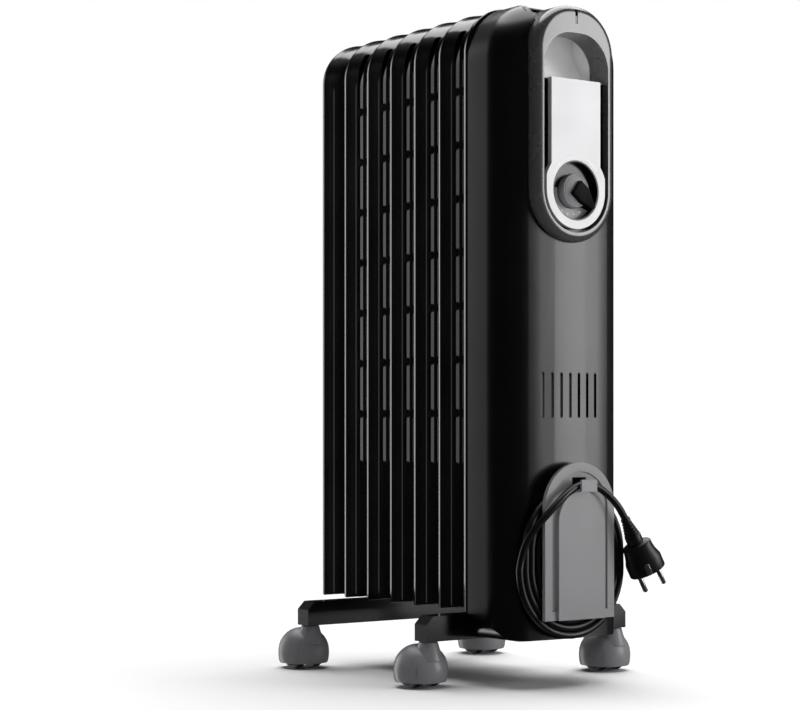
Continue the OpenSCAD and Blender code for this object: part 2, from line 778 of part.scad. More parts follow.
module housing_screws() color("#a0a09e") for (p = screw_places) {
  seat_y = face_y + panel_bulge * pow((abs(p[0]) + 2 * screw_r) / panel_half_w, 2) + housing_wall;
  rod_y(p[0], plate_y - screw_end, p[1], screw_r, seat_y - plate_y + screw_end);
  rod_y(p[0], seat_y, p[1], 2 * screw_r - 0.2, 2);
}

// Route of the cord from the coil over the hook to the plug; y is measured from the front panel
TAIL = [[-64, -5, 124], [-61, -8, 138], [-54, -14, 153], [-43, -20, 167], [-29, -22, 180], [-14, -21, 189],
  [0, -20, 192], [14, -21, 190], [27, -23, 182], [38, -25, 171], [47, -25, 159]];
tail_sides = 10;

// Point of a smooth curve through the route, i whole and f part of a step along it
function route(p, i, f) = let (n = len(p) - 1, a = p[max(i - 1, 0)], b = p[i], c = p[min(i + 1, n)], d = p[min(i + 2, n)])
  0.5 * (2 * b + (c - a) * f + (2 * a - 5 * b + 4 * c - d) * f * f + (3 * b - a - 3 * c + d) * f * f * f);
function unit(v) = v / norm(v);
tail_pts = concat([for (i = [0:len(TAIL) - 2], f = [0, 0.5]) route(TAIL, i, f)], [TAIL[len(TAIL) - 1]]);
function tail_dir(k) = let (n = len(tail_pts) - 1)
  k == n ? [sin(plug_tilt), 0, -cos(plug_tilt)] : unit(tail_pts[min(k + 1, n)] - tail_pts[max(k - 1, 0)]);

module cord_tail() color("#0c0c0c") {
  n = len(tail_pts);
  rings = [for (k = [0:n - 1]) let (d = tail_dir(k), u = unit(cross([0, 1, 0], d)), v = cross(d, u))
    for (j = [0:tail_sides - 1]) let (a = 360 * j / tail_sides)
      tail_pts[k] + cord_d / 2 * (cos(a) * u + sin(a) * v)];
  walls = [for (k = [0:n - 2], j = [0:tail_sides - 1]) let (m = (j + 1) % tail_sides)
    [k * tail_sides + j, (k + 1) * tail_sides + j, (k + 1) * tail_sides + m, k * tail_sides + m]];
  ends = [[for (j = [0:tail_sides - 1]) j], [for (j = [tail_sides - 1:-1:0]) (n - 1) * tail_sides + j]];
  translate([0, face_y, 0]) polyhedron(rings, concat(walls, ends));
}

plug_tilt = 30;
plug_twist = -33;
relief_len = 27;
plug_len = 32;
plug_r = 18;
pin_len = 19;
pin_gap = 19;
pin_r = 2.4;
pin_depth = 10;

// Places a plug piece drawn downwards from the end of the cord
module at_plug() {
  translate(TAIL[len(TAIL) - 1] + [0, face_y, 0]) rotate([0, -plug_tilt, 0]) rotate([0, 0, plug_twist]) children();
}

module plug() color("#101010") at_plug() difference() {
  union() {
    translate([0, 0, -relief_len]) cylinder(r1 = 8, r2 = cord_d / 2 + 1, h = relief_len);
    intersection() {
      translate([0, 0, -relief_len - plug_len]) cylinder(r = plug_r, h = plug_len + eps);
      translate([-plug_r, -13, -relief_len - plug_len]) cube([2 * plug_r, 26, plug_len + eps]);
    }
  }
  for (s = [-1, 1]) translate([s * pin_gap / 2, 0, -relief_len - plug_len - 1]) cylinder(r = pin_r, h = pin_depth + 1);
}

module plug_pins() color("#b5b5b3") at_plug() for (s = [-1, 1])
  translate([s * pin_gap / 2, 0, -relief_len - plug_len - pin_len]) cylinder(r = pin_r, h = pin_len + pin_depth);

stem_x = foot_half_l - stem_inset;
front_foot_y = (element_y(1) + element_y(2)) / 2;
rear_foot_y = (element_y(element_count - 1) + element_y(element_count)) / 2;
stem_h = foot_h - 5;
clamp_r = 3;
clamp_gap = 0.1;
clamp_x = header_r + clamp_gap + clamp_r;
foot_chamfer = 8;

// Space that a foot bar needs in the housing, with the fit gap g
module foot_space(g) {
  translate([-half_w - 1, front_foot_y - foot_w / 2 - g * fit_gap, foot_z - 1])
    cube([element_w + 2, foot_w, foot_h + 1 + g * fit_gap]);
}

// Foot bar: a channel open below with closed ends that carry the castors
module foot(y) difference() {
  z = foot_z + foot_h;
  translate([0, y - foot_w / 2 + foot_w, 0]) rotate([90, 0, 0]) linear_extrude(foot_w)
    polygon([[-foot_half_l, foot_z], [foot_half_l, foot_z], [foot_half_l, z - foot_chamfer],
      [foot_half_l - foot_chamfer, z], [-foot_half_l + foot_chamfer, z], [-foot_half_l, z - foot_chamfer]]);
  translate([-stem_x + 12, y - foot_w / 2 + foot_wall, foot_z - 1])
    cube([2 * stem_x - 24, foot_w - 2 * foot_wall, foot_h - foot_wall + 1]);
  for (s = [-1, 1]) {
    translate([s * stem_x, y, foot_z - 1]) cylinder(r = stem_r + run_gap, h = stem_h + 1.5);
    translate([s * clamp_x, y, foot_z]) cylinder(r = clamp_r + 0.2, h = foot_h + 10);
  }
}

module front_foot() color("#141414") foot(front_foot_y);
module rear_foot() color("#141414") foot(rear_foot_y);

clamp_low = foot_z + foot_h - foot_wall - 16;

// U bolts that hang the foot bars on the lower headers
module foot_clamps() color("#9c9c9a") for (y = [front_foot_y, rear_foot_y]) {
  for (s = [-1, 1]) translate([s * clamp_x, y, clamp_low]) cylinder(r = clamp_r, h = header_low_z - clamp_low);
  translate([0, y, header_low_z]) rotate([90, 0, 0])
    rotate_extrude(angle = 180) translate([clamp_x, 0]) circle(clamp_r, $fn = 32);
}

// Wing nuts inside the foot bars
nut_h = 8;
module wing_nuts() color("#9c9c9a") for (y = [front_foot_y, rear_foot_y], s = [-1, 1])
  translate([s * clamp_x, y, foot_z + foot_h - foot_wall - nut_h]) difference() {
    union() {
      cylinder(r = 5, h = nut_h);
      translate([-10, -1, 0]) cube([20, 2, nut_h - 2]);
    }
    translate([0, 0, -1]) cylinder(r = clamp_r, h = nut_h + 2);
  }

function castor_x(c) = (c % 2 == 1 ? -1 : 1) * stem_x;
function castor_y(c) = c <= 2 ? front_foot_y : rear_foot_y;
hood_z = wheel_r;
hood_cut = 5.5;                      // height of the hood's lower rim above the floor
cheek_x = wheel_x + wheel_w / 2 + 0.5;
seat_gap = 0.4;                      // gap between the neck and the foot bar
hood_gap = 1.5;                      // gap between the hood and the foot bar

// Castor: domed hood over two wheels, with a neck and a stem pin
module castor(c) color("#7b7b80") translate([castor_x(c), castor_y(c), 0]) {
  hood_y = castor_trail;
  neck_room = neck_r + 0.4;
  difference() {
    union() {
      difference() {
        translate([0, hood_y, hood_z]) rotate_extrude($fn = 96) intersection() {
          circle(hood_r, $fn = 96);
          translate([0, hood_cut - hood_z]) square([hood_r + 1, foot_z - hood_gap - hood_cut]);
        }
        for (s = [-1, 1]) rod_x(s * wheel_x, hood_y, hood_z, wheel_r + 1, wheel_w + 1);
      }
      cylinder(r = neck_r, h = foot_z - seat_gap);
    }
    translate([-neck_room, -neck_room, -1]) cube([2 * neck_room, 2 * neck_room, hood_z + 9]);
    for (s = [-1, 1]) rod_x(s * wheel_x, hood_y, hood_z, wheel_r + 1, wheel_w + 1);
    rod_x(0, hood_y, hood_z, axle_r, 2 * cheek_x + 2);
  }
  translate([0, 0, foot_z - seat_gap - 1]) cylinder(r = stem_r, h = stem_h + seat_gap);
}

module castor_axle(c) color("#b5b5b3") translate([castor_x(c), castor_y(c), 0])
  rod_x(0, castor_trail, hood_z, axle_r, 2 * cheek_x + 2);

module wheel(c, s) color("#0e0e0e") translate([castor_x(c), castor_y(c), 0]) difference() {
  rod_x(s * wheel_x, castor_trail, hood_z, wheel_r, wheel_w);
  rod_x(s * wheel_x, castor_trail, hood_z, axle_r + run_gap, wheel_w + 2);
}

for (i = [1:element_count])
  color("#0b0b0b") element(i);
lower_blind_plug();
upper_blind_plug();
filler_plug();
heating_rod();
heater_flange();
heater_gasket();
front_header_plug();
front_housing();
housing_screws();
mounting_bracket();
terminal_block();
thermal_cutout();
thermostat();
thermostat_shaft();
control_frame();
grip_liner();
fascia();
dial_ring();
dial_well();
pilot_lens();
pilot_lamp();
knob();
cord_hub();
cord_plate();
cord_gland();
cord_coil();
cord_tail();
plug();
plug_pins();
front_foot();
rear_foot();
foot_clamps();
wing_nuts();
for (c = [1:4]) {
  castor(c);
  castor_axle(c);
  wheel(c, -1);
  wheel(c, 1);
}
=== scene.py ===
"""Looks of an oil filled radiator on castors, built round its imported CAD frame.

Every size is in metres and every piece stands in the frame's own place: X to the
right seen from the front, Y to the rear, Z up, floor at zero.
"""

import logging
import math
from collections.abc import Callable
from dataclasses import dataclass, field
from enum import Enum

import bmesh
import bpy
from mathutils import Matrix, Vector

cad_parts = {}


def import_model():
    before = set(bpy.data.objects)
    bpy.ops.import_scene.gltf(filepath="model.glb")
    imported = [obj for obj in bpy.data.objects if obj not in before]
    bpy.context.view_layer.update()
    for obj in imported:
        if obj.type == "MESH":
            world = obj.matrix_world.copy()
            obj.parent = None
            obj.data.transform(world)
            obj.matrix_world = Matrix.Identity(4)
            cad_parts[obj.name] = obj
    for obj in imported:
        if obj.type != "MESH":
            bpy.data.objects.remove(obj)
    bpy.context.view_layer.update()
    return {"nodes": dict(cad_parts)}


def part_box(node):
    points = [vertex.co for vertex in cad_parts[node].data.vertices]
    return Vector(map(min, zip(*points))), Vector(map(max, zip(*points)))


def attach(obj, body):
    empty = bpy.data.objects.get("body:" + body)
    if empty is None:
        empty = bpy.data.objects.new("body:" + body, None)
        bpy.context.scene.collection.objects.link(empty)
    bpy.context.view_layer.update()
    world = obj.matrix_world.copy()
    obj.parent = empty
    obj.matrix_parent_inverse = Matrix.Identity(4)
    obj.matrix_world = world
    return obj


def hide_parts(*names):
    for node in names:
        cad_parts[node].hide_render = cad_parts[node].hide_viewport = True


MM = 0.001
PANEL_Y = -140.85 * MM  # plane of the front panel
LOG = logging.getLogger("radiator")


# ---------------------------------------------------------------- node and mesh helpers


def linear(hex_code: str) -> tuple[float, float, float, float]:
    """Turns an sRGB hex colour into a linear one.

    Args:
        hex_code: Six hex digits, with or without a leading hash.

    Returns:
        Linear red, green and blue, and an alpha of one.
    """
    digits = hex_code.lstrip("#")
    parts = [int(digits[i : i + 2], 16) / 255 for i in (0, 2, 4)]
    flat = [c / 12.92 if c <= 0.04045 else ((c + 0.055) / 1.055) ** 2.4 for c in parts]
    return flat[0], flat[1], flat[2], 1.0


def add_node(
    tree: bpy.types.NodeTree,
    kind: str,
    settings: dict[str, object] | None = None,
    inputs: dict[str | int, object] | None = None,
) -> bpy.types.Node:
    """Adds a node, sets its properties, and sets or links its inputs.

    Args:
        tree: Node tree that takes the node.
        kind: Blender's type name of the node.
        settings: Properties of the node itself.
        inputs: Value of each input, or the output socket that feeds it.

    Returns:
        The new node.
    """
    node = tree.nodes.new(kind)
    for key, value in (settings or {}).items():
        setattr(node, key, value)
    for key, value in (inputs or {}).items():
        if isinstance(value, bpy.types.NodeSocket):
            tree.links.new(value, node.inputs[key])
        else:
            node.inputs[key].default_value = value
    return node


def select_only(obj: bpy.types.Object) -> None:
    """Makes obj the one selected and active object."""
    bpy.ops.object.select_all(action="DESELECT")
    obj.select_set(True)
    bpy.context.view_layer.objects.active = obj


def pick(obj: bpy.types.Object, mode: str, test: Callable[[object], bool]) -> None:
    """Selects the faces, edges or vertices of obj that pass a test, in edit mode.

    Args:
        obj: Mesh object that is in edit mode.
        mode: FACE, EDGE or VERT.
        test: Function of the element that says whether it is taken.
    """
    bpy.ops.mesh.select_mode(type=mode)
    bpy.ops.mesh.select_all(action="DESELECT")
    mesh = bmesh.from_edit_mesh(obj.data)
    items = {"FACE": mesh.faces, "EDGE": mesh.edges, "VERT": mesh.verts}[mode]
    for item in items:
        if test(item):
            item.select_set(True)
    mesh.select_flush_mode()
    bmesh.update_edit_mesh(obj.data)


def close_edit() -> None:
    """Turns every normal of the edited mesh outwards and leaves edit mode."""
    bpy.ops.mesh.select_all(action="SELECT")
    bpy.ops.mesh.normals_make_consistent(inside=False)
    bpy.ops.object.mode_set(mode="OBJECT")


def finish_piece(
    obj: bpy.types.Object,
    name: str,
    place: Matrix | None = None,
    bevel: float = 0.0,
    segments: int = 3,
    sharp: float = 35.0,
) -> bpy.types.Object:
    """Bevels a modelled piece, puts its place into its mesh and smooths it.

    Args:
        obj: The piece, in object mode.
        name: Its new name.
        place: Where the piece goes, from its own frame to the shared one.
        bevel: Width of the bevel on its sharp edges, zero for none.
        segments: Steps in the bevel.
        sharp: Angle in degrees past which an edge is bevelled and kept sharp.

    Returns:
        The same object, at the origin.
    """
    select_only(obj)
    if bevel:
        mod = obj.modifiers.new("edge", "BEVEL")
        mod.width = bevel
        mod.segments = segments
        mod.limit_method = "ANGLE"
        mod.angle_limit = math.radians(sharp)
        bpy.ops.object.modifier_apply(modifier=mod.name)
    obj.name = name
    obj.data.name = name
    obj.matrix_world = (place or Matrix.Identity(4)) @ obj.matrix_world
    bpy.ops.object.transform_apply(location=True, rotation=True, scale=True)
    bpy.ops.object.shade_smooth_by_angle(angle=math.radians(sharp))
    return obj


def add_primitive(kind: str, name: str, **settings: object) -> bpy.types.Object:
    """Adds one of Blender's mesh primitives with nothing else selected.

    Args:
        kind: Operator's name without primitive_ and _add, such as cube.
        name: Name of the object.
        settings: The operator's own settings.

    Returns:
        The new object, in object mode.
    """
    bpy.ops.object.select_all(action="DESELECT")
    getattr(bpy.ops.mesh, f"primitive_{kind}_add")(**settings)
    obj = bpy.context.object
    obj.name = name
    return obj


def join_pieces(objs: list[bpy.types.Object], name: str) -> bpy.types.Object:
    """Joins mesh objects into one and names it.

    Args:
        objs: Two or more mesh objects.
        name: Name of the joined one.

    Returns:
        The joined object.
    """
    select_only(objs[0])
    for obj in objs[1:]:
        obj.select_set(True)
    bpy.ops.object.join()
    objs[0].name = name
    return objs[0]


def carve(obj: bpy.types.Object, cutter: bpy.types.Object, how: str = "DIFFERENCE") -> None:
    """Cuts obj with a cutter, or joins the two, and removes the cutter.

    Args:
        obj: The piece that is changed.
        cutter: The piece that cuts it or is joined to it.
        how: Blender's name for the operation.
    """
    cut = obj.modifiers.new("carve", "BOOLEAN")
    cut.operation = how
    cut.solver = "EXACT"
    cut.object = cutter
    select_only(obj)
    bpy.ops.object.modifier_apply(modifier=cut.name)
    bpy.data.objects.remove(cutter)


def add_bar(mesh: bmesh.types.BMesh, rows: list[list[bmesh.types.BMVert]]) -> None:
    """Closes a bar over its cross-sections.

    Args:
        mesh: Mesh that holds the corners.
        rows: The four corners of each cross-section, from one end to the other.
    """
    for a, b in zip(rows, rows[1:]):
        for k in range(4):
            m = (k + 1) % 4
            mesh.faces.new((a[k], a[m], b[m], b[k]))
    mesh.faces.new(rows[0])
    mesh.faces.new(rows[-1])


def built_piece(mesh: bmesh.types.BMesh, name: str) -> bpy.types.Object:
    """Turns a built mesh into an object with its normals outwards.

    Args:
        mesh: The mesh, which is freed.
        name: Name of the object.

    Returns:
        The object, in the scene.
    """
    bmesh.ops.recalc_face_normals(mesh, faces=mesh.faces)
    data = bpy.data.meshes.new(name)
    mesh.to_mesh(data)
    mesh.free()
    obj = bpy.data.objects.new(name, data)
    bpy.context.scene.collection.objects.link(obj)
    return obj


def dress(obj: bpy.types.Object, material: bpy.types.Material) -> None:
    """Gives an object one material on all its faces."""
    if not obj.data.materials:
        obj.data.materials.append(material)
    for slot in obj.material_slots:
        slot.material = material


def catmull_rom(points: list[Vector], steps: int) -> list[Vector]:
    """Smooth curve through points.

    Args:
        points: The points that it passes.
        steps: Parts into which each stretch is cut.

    Returns:
        Points along the curve, both ends with them.
    """
    line = []
    last = len(points) - 1
    for i in range(last):
        a, b = points[max(i - 1, 0)], points[i]
        c, d = points[i + 1], points[min(i + 2, last)]
        for k in range(steps):
            f = k / steps
            square, cube = 2 * a - 5 * b + 4 * c - d, 3 * b - a - 3 * c + d
            line.append(0.5 * (2 * b + (c - a) * f + square * f**2 + cube * f**3))
    return [*line, points[last]]


# ---------------------------------------------------------------- finishes


class Pattern(Enum):
    """Which way the fine marks of a surface run."""

    EVEN = "even"
    DRAWN = "drawn"


@dataclass(frozen=True)
class Finish:
    """One real surface, from its common name and how it was made.

    Its base and second colours are mixed by a slow cloud, its roughness wanders with
    the same cloud, and a fine grain gives the bump.
    """

    name: str
    base: str
    second: str
    roughness: float
    roughness_spread: float = 0.06
    metallic: float = 0.0
    ior: float = 1.5
    specular: float = 0.5
    coat: float = 0.0
    coat_roughness: float = 0.1
    cloud_mm: float = 40.0
    grain_mm: float = 0.8
    grain_height_mm: float = 0.01
    pattern: Pattern = Pattern.EVEN
    stretch: tuple[float, float, float] = (1.0, 1.0, 1.0)
    transmission: float = 0.0

    def material(self) -> bpy.types.Material:
        """Builds the finish as a material.

        Returns:
            The new material.
        """
        made = bpy.data.materials.new(self.name)
        made.use_nodes = True
        tree = made.node_tree
        tree.nodes.clear()
        place = add_node(tree, "ShaderNodeTexCoord")
        stretch = self.stretch if self.pattern is Pattern.DRAWN else (1.0, 1.0, 1.0)
        mapping = add_node(
            tree,
            "ShaderNodeMapping",
            inputs={"Vector": place.outputs["Object"], "Scale": stretch},
        )
        cloud = add_node(
            tree,
            "ShaderNodeTexNoise",
            inputs={
                "Vector": place.outputs["Object"],
                "Scale": 1 / (self.cloud_mm * MM),
                "Detail": 4.0,
            },
        )
        grain = add_node(
            tree,
            "ShaderNodeTexNoise",
            inputs={
                "Vector": mapping.outputs["Vector"],
                "Scale": 1 / (self.grain_mm * MM),
                "Detail": 2.0,
            },
        )
        colour = add_node(
            tree,
            "ShaderNodeMix",
            {"data_type": "RGBA"},
            {"Factor": cloud.outputs["Fac"], "A": linear(self.base), "B": linear(self.second)},
        )
        rough = add_node(
            tree,
            "ShaderNodeMapRange",
            inputs={
                "Value": cloud.outputs["Fac"],
                "From Min": 0.3,
                "From Max": 0.7,
                "To Min": self.roughness - self.roughness_spread,
                "To Max": self.roughness + self.roughness_spread,
            },
        )
        bump = add_node(
            tree,
            "ShaderNodeBump",
            inputs={
                "Height": grain.outputs["Fac"],
                "Strength": 0.5,
                "Distance": self.grain_height_mm * MM,
            },
        )
        surface = add_node(
            tree,
            "ShaderNodeBsdfPrincipled",
            inputs={
                "Base Color": colour.outputs["Result"],
                "Roughness": rough.outputs["Result"],
                "Normal": bump.outputs["Normal"],
                "Metallic": self.metallic,
                "IOR": self.ior,
                "Specular IOR Level": self.specular,
                "Coat Weight": self.coat,
                "Coat Roughness": self.coat_roughness,
                "Transmission Weight": self.transmission,
            },
        )
        add_node(
            tree, "ShaderNodeOutputMaterial", inputs={"Surface": surface.outputs["BSDF"]}
        )
        return made


# Stoved black enamel on folded steel: nearly black, a low even gloss with slight orange peel
FIN_ENAMEL = Finish(
    "stoved_black_enamel", "#030303", "#050505", 0.15, roughness_spread=0.02, cloud_mm=60, grain_mm=3.0,
    grain_height_mm=0.003,
)
# The same enamel on the pressed front housing, rolled flatter, so it mirrors the studio more
HOUSING_ENAMEL = Finish(
    "housing_enamel", "#050506", "#080809", 0.25, roughness_spread=0.02, specular=0.55, cloud_mm=70,
    grain_mm=2.6, grain_height_mm=0.003,
)
# Silver lacquer on moulded ABS: metal flake seen through a clear coat
SILVER_LACQUER = Finish(
    "silver_lacquered_abs", "#565657", "#5c5c5d", 0.27, roughness_spread=0.02, metallic=0.6, coat=0.5,
    cloud_mm=30, grain_mm=1.1, grain_height_mm=0.0012,
)
# Brighter silver lacquer of the fascia
FASCIA_LACQUER = Finish(
    "fascia_silver_lacquer", "#b9b9bb", "#c2c2c3", 0.4, roughness_spread=0.03, metallic=0.25, coat=0.1,
    cloud_mm=30, grain_mm=1.1, grain_height_mm=0.0015,
)
# Pale moulded polypropylene of the hand-hold liner
PALE_POLYPROPYLENE = Finish(
    "pale_polypropylene", "#f3f3f3", "#eeeeee", 0.45, specular=0.45, cloud_mm=30, grain_mm=0.9,
)
# Grey moulded ABS with a fine spark-eroded grain
GREY_ABS = Finish(
    "grey_moulded_abs", "#7c7c7e", "#838385", 0.38, cloud_mm=35, grain_mm=0.8, grain_height_mm=0.014,
)
# Light grey ABS of the knob, ring and hook
LIGHT_ABS = Finish(
    "light_grey_moulded_abs", "#8b8b8d", "#949496", 0.3, cloud_mm=30, grain_mm=0.7,
)
# Black moulded ABS, glossy in the dial well and on the winding hub; also the painted shade laid over the
# upper part of the dial's ring
BLACK_ABS_AND_PAINTED_SHADE = Finish(
    "black_abs_and_painted_shade", "#070708", "#0b0b0c", 0.25, cloud_mm=30, grain_mm=0.8, grain_height_mm=0.012,
)
# Black satin ABS of the knob's pointer
SATIN_ABS = Finish(
    "black_satin_abs", "#040404", "#070707", 0.6, specular=0.15, cloud_mm=30, grain_mm=0.8,
)
# Nylon of the castor wheels, duller than the moulded ABS
WHEEL_NYLON = Finish(
    "black_wheel_nylon", "#0a0a0b", "#131314", 0.5, cloud_mm=14, grain_mm=0.6, grain_height_mm=0.02,
)
# Grey nylon of the castor hoods
CASTOR_NYLON = Finish(
    "grey_castor_nylon", "#77777a", "#7f7f82", 0.36, cloud_mm=20, grain_mm=0.7, grain_height_mm=0.012,
)
# Soft PVC sheath of the mains lead
CORD_PVC = Finish(
    "black_cord_pvc", "#070708", "#0b0b0c", 0.38, cloud_mm=18, grain_mm=0.5, grain_height_mm=0.015,
)
# Nickel plated brass of the plug's pins
NICKEL_PLATE = Finish(
    "nickel_plated_brass", "#c6c4be", "#d3d1cb", 0.2, metallic=1.0, cloud_mm=6, grain_mm=0.3,
    grain_height_mm=0.003, pattern=Pattern.DRAWN, stretch=(1.0, 1.0, 0.12),
)
# Bright zinc plated steel of screws, axles and brackets
ZINC_STEEL = Finish(
    "zinc_plated_steel", "#a3a4a2", "#b5b6b2", 0.34, metallic=1.0, cloud_mm=8, grain_mm=0.5,
    grain_height_mm=0.006,
)
# Black nitrile rubber of the gasket
GASKET_RUBBER = Finish(
    "nitrile_rubber", "#141414", "#1b1b1a", 0.7, cloud_mm=9, grain_mm=0.4, grain_height_mm=0.02,
)
# Steel sheath of the heating rod, blued by heat
ROD_SHEATH = Finish(
    "heat_blued_steel", "#5c5a58", "#6a625a", 0.4, metallic=1.0, cloud_mm=15, grain_mm=0.5,
)
# Steatite ceramic of the terminal block
STEATITE = Finish(
    "steatite_ceramic", "#d8d2c3", "#cfc9ba", 0.5, cloud_mm=7, grain_mm=0.4, grain_height_mm=0.02,
)
# Brown phenolic of the thermostat's body
PHENOLIC = Finish(
    "phenolic_resin", "#2c201a", "#382820", 0.5, cloud_mm=6, grain_mm=0.5, grain_height_mm=0.02,
)
# Turned brass of the thermostat's shaft
TURNED_BRASS = Finish(
    "turned_brass", "#b08d46", "#bf9b55", 0.28, metallic=1.0, cloud_mm=5, grain_mm=0.3,
    pattern=Pattern.DRAWN, stretch=(1.0, 0.1, 1.0),
)
# Dark red polycarbonate over the pilot lamp
LENS_RED = Finish(
    "red_polycarbonate", "#3a0708", "#4a0a0b", 0.12, ior=1.58, transmission=0.35, cloud_mm=8,
    grain_mm=0.8, grain_height_mm=0.004,
)
# Glass of the neon pilot lamp
LAMP_GLASS = Finish(
    "lamp_glass", "#d9c9b8", "#e2d3c4", 0.08, ior=1.52, transmission=0.7, cloud_mm=5, grain_mm=0.6,
    grain_height_mm=0.002,
)
# Pad printed white ink
WHITE_INK = Finish(
    "white_pad_print", "#ececec", "#e4e4e4", 0.5, cloud_mm=5, grain_mm=0.3, grain_height_mm=0.004,
)
# Matt pale studio paper, part of the stage and not of the radiator
STUDIO_PAPER = Finish(
    "pale_studio_paper", "#f4f4f4", "#f6f6f6", 0.9, specular=0.1, cloud_mm=400, grain_mm=2.0,
    grain_height_mm=0.01,
)


class Palette:
    """Makes each finish's material once and hands it out."""

    def __init__(self) -> None:
        """Starts with nothing made."""
        self.made: dict[str, bpy.types.Material] = {}

    def get(self, finish: Finish) -> bpy.types.Material:
        """Material of a finish, made at its first use."""
        if finish.name not in self.made:
            self.made[finish.name] = finish.material()
        return self.made[finish.name]


# ---------------------------------------------------------------- stage


@dataclass
class Studio:
    """Pale floor, soft lights and the camera."""

    palette: Palette
    camera_at: tuple[float, float, float] = (-1.2974, -1.6373, 0.2469)
    turn: float = -36.242  # turn of the line of sight from straight ahead, in degrees
    lens_mm: float = 93.6
    sensor_mm: float = 36.0
    shift_up: float = 0.0892
    floor_half: float = 30.0
    softboxes: tuple[tuple[str, tuple[float, float, float], tuple[float, float], float], ...] = field(
        default=(("light_right", (1.75, -2.0, 0.8), (1.1, 1.9), 35.0),)
    )
    aim: tuple[float, float, float] = (0.0, 0.0, 0.32)
    room_strength: float = 4.0
    flag_low: float = 0.3  # sine of the height at which the black flags begin
    flag_high: float = 0.55  # and at which they are full
    flag_share: float = 0.06  # light that is left behind them
    overhead: float = 3.7
    overhead_spread: float = 70.0
    overhead_tilt: tuple[float, float] = (-12.0, 14.0)  # forward and sideways, in degrees
    # Bearing from straight behind in degrees, positive to the right, and the room's colour there
    bands: tuple[tuple[float, str], ...] = (
        (-180, "#151516"), (-100, "#0c0c0d"), (-47, "#0e0e0f"), (-39, "#5c5c5e"), (-33, "#6c6c6e"),
        (-26, "#b0b0b2"), (-18, "#f0f0f2"), (-10, "#ffffff"), (-3, "#5c5c5e"), (6, "#08080a"),
        (70, "#08080a"), (95, "#2c2c2e"), (180, "#1c1c1d"),
    )

    def build(self) -> None:
        """Makes the camera, then the floor, the lights and the world."""
        self._camera()
        self._floor()
        for name, place, size, power in self.softboxes:
            self._softbox(name, place, size, power)
        self._overhead()
        self._world()

    def _camera(self) -> None:
        """Level camera with a small upward shift."""
        data = bpy.data.cameras.new("camera")
        data.lens = self.lens_mm
        data.sensor_width = self.sensor_mm
        data.shift_y = self.shift_up
        camera = bpy.data.objects.new("camera", data)
        camera.location = self.camera_at
        camera.rotation_euler = (math.radians(90), 0, math.radians(self.turn))
        bpy.context.scene.collection.objects.link(camera)
        bpy.context.scene.camera = camera

    def _floor(self) -> None:
        """Plain paper floor."""
        floor = add_primitive("plane", "floor", size=2 * self.floor_half, location=(0, 0, 0))
        floor.visible_glossy = False
        dress(floor, self.palette.get(STUDIO_PAPER))

    def _softbox(
        self, name: str, place: tuple[float, float, float], size: tuple[float, float], power: float
    ) -> None:
        """Rectangular lamp that faces the radiator.

        Args:
            name: Name of the lamp.
            place: Its centre.
            size: Its width and height.
            power: Its power in watts.
        """
        data = bpy.data.lights.new(name, "AREA")
        data.shape = "RECTANGLE"
        data.size, data.size_y = size
        data.energy = power
        lamp = bpy.data.objects.new(name, data)
        lamp.location = place
        lamp.rotation_euler = (Vector(self.aim) - Vector(place)).to_track_quat("-Z", "Y").to_euler()
        bpy.context.scene.collection.objects.link(lamp)

    def _overhead(self) -> None:
        """Broad even light from above, the same over the whole floor."""
        data = bpy.data.lights.new("light_overhead", "SUN")
        data.energy = self.overhead
        data.angle = math.radians(self.overhead_spread)
        lamp = bpy.data.objects.new("light_overhead", data)
        forward, sideways = self.overhead_tilt
        lamp.rotation_euler = (math.radians(forward), math.radians(sideways), 0)
        bpy.context.scene.collection.objects.link(lamp)

    def _world(self) -> None:
        """White backdrop, and the room round it as the glossy and matt surfaces see it.

        The room is lit in a band behind the radiator's left side and is dark elsewhere,
        with a soft glow on the right, as a studio hung with black flags is.
        """
        world = bpy.data.worlds.new("studio")
        world.use_nodes = True
        tree = world.node_tree
        tree.nodes.clear()
        path = add_node(tree, "ShaderNodeLightPath")
        way = add_node(tree, "ShaderNodeTexCoord")
        axes = add_node(
            tree, "ShaderNodeSeparateXYZ", inputs={"Vector": way.outputs["Generated"]}
        )
        # Bearing from straight behind, growing to the right, in turns from -0.5 to 0.5
        bearing = add_node(
            tree,
            "ShaderNodeMath",
            {"operation": "ARCTAN2"},
            {0: axes.outputs["X"], 1: axes.outputs["Y"]},
        )
        turns = add_node(
            tree,
            "ShaderNodeMapRange",
            inputs={
                "Value": bearing.outputs["Value"],
                "From Min": -math.pi,
                "From Max": math.pi,
                "To Min": 0.0,
                "To Max": 1.0,
            },
        )
        ramp = add_node(tree, "ShaderNodeValToRGB", inputs={"Fac": turns.outputs["Result"]})
        bands = ramp.color_ramp
        bands.elements[0].position, bands.elements[0].color = 0.0, linear(self.bands[0][1])
        bands.elements[1].position, bands.elements[1].color = 1.0, linear(self.bands[-1][1])
        for degrees, colour in self.bands[1:-1]:
            band = bands.elements.new((degrees + 180) / 360)
            band.color = linear(colour)
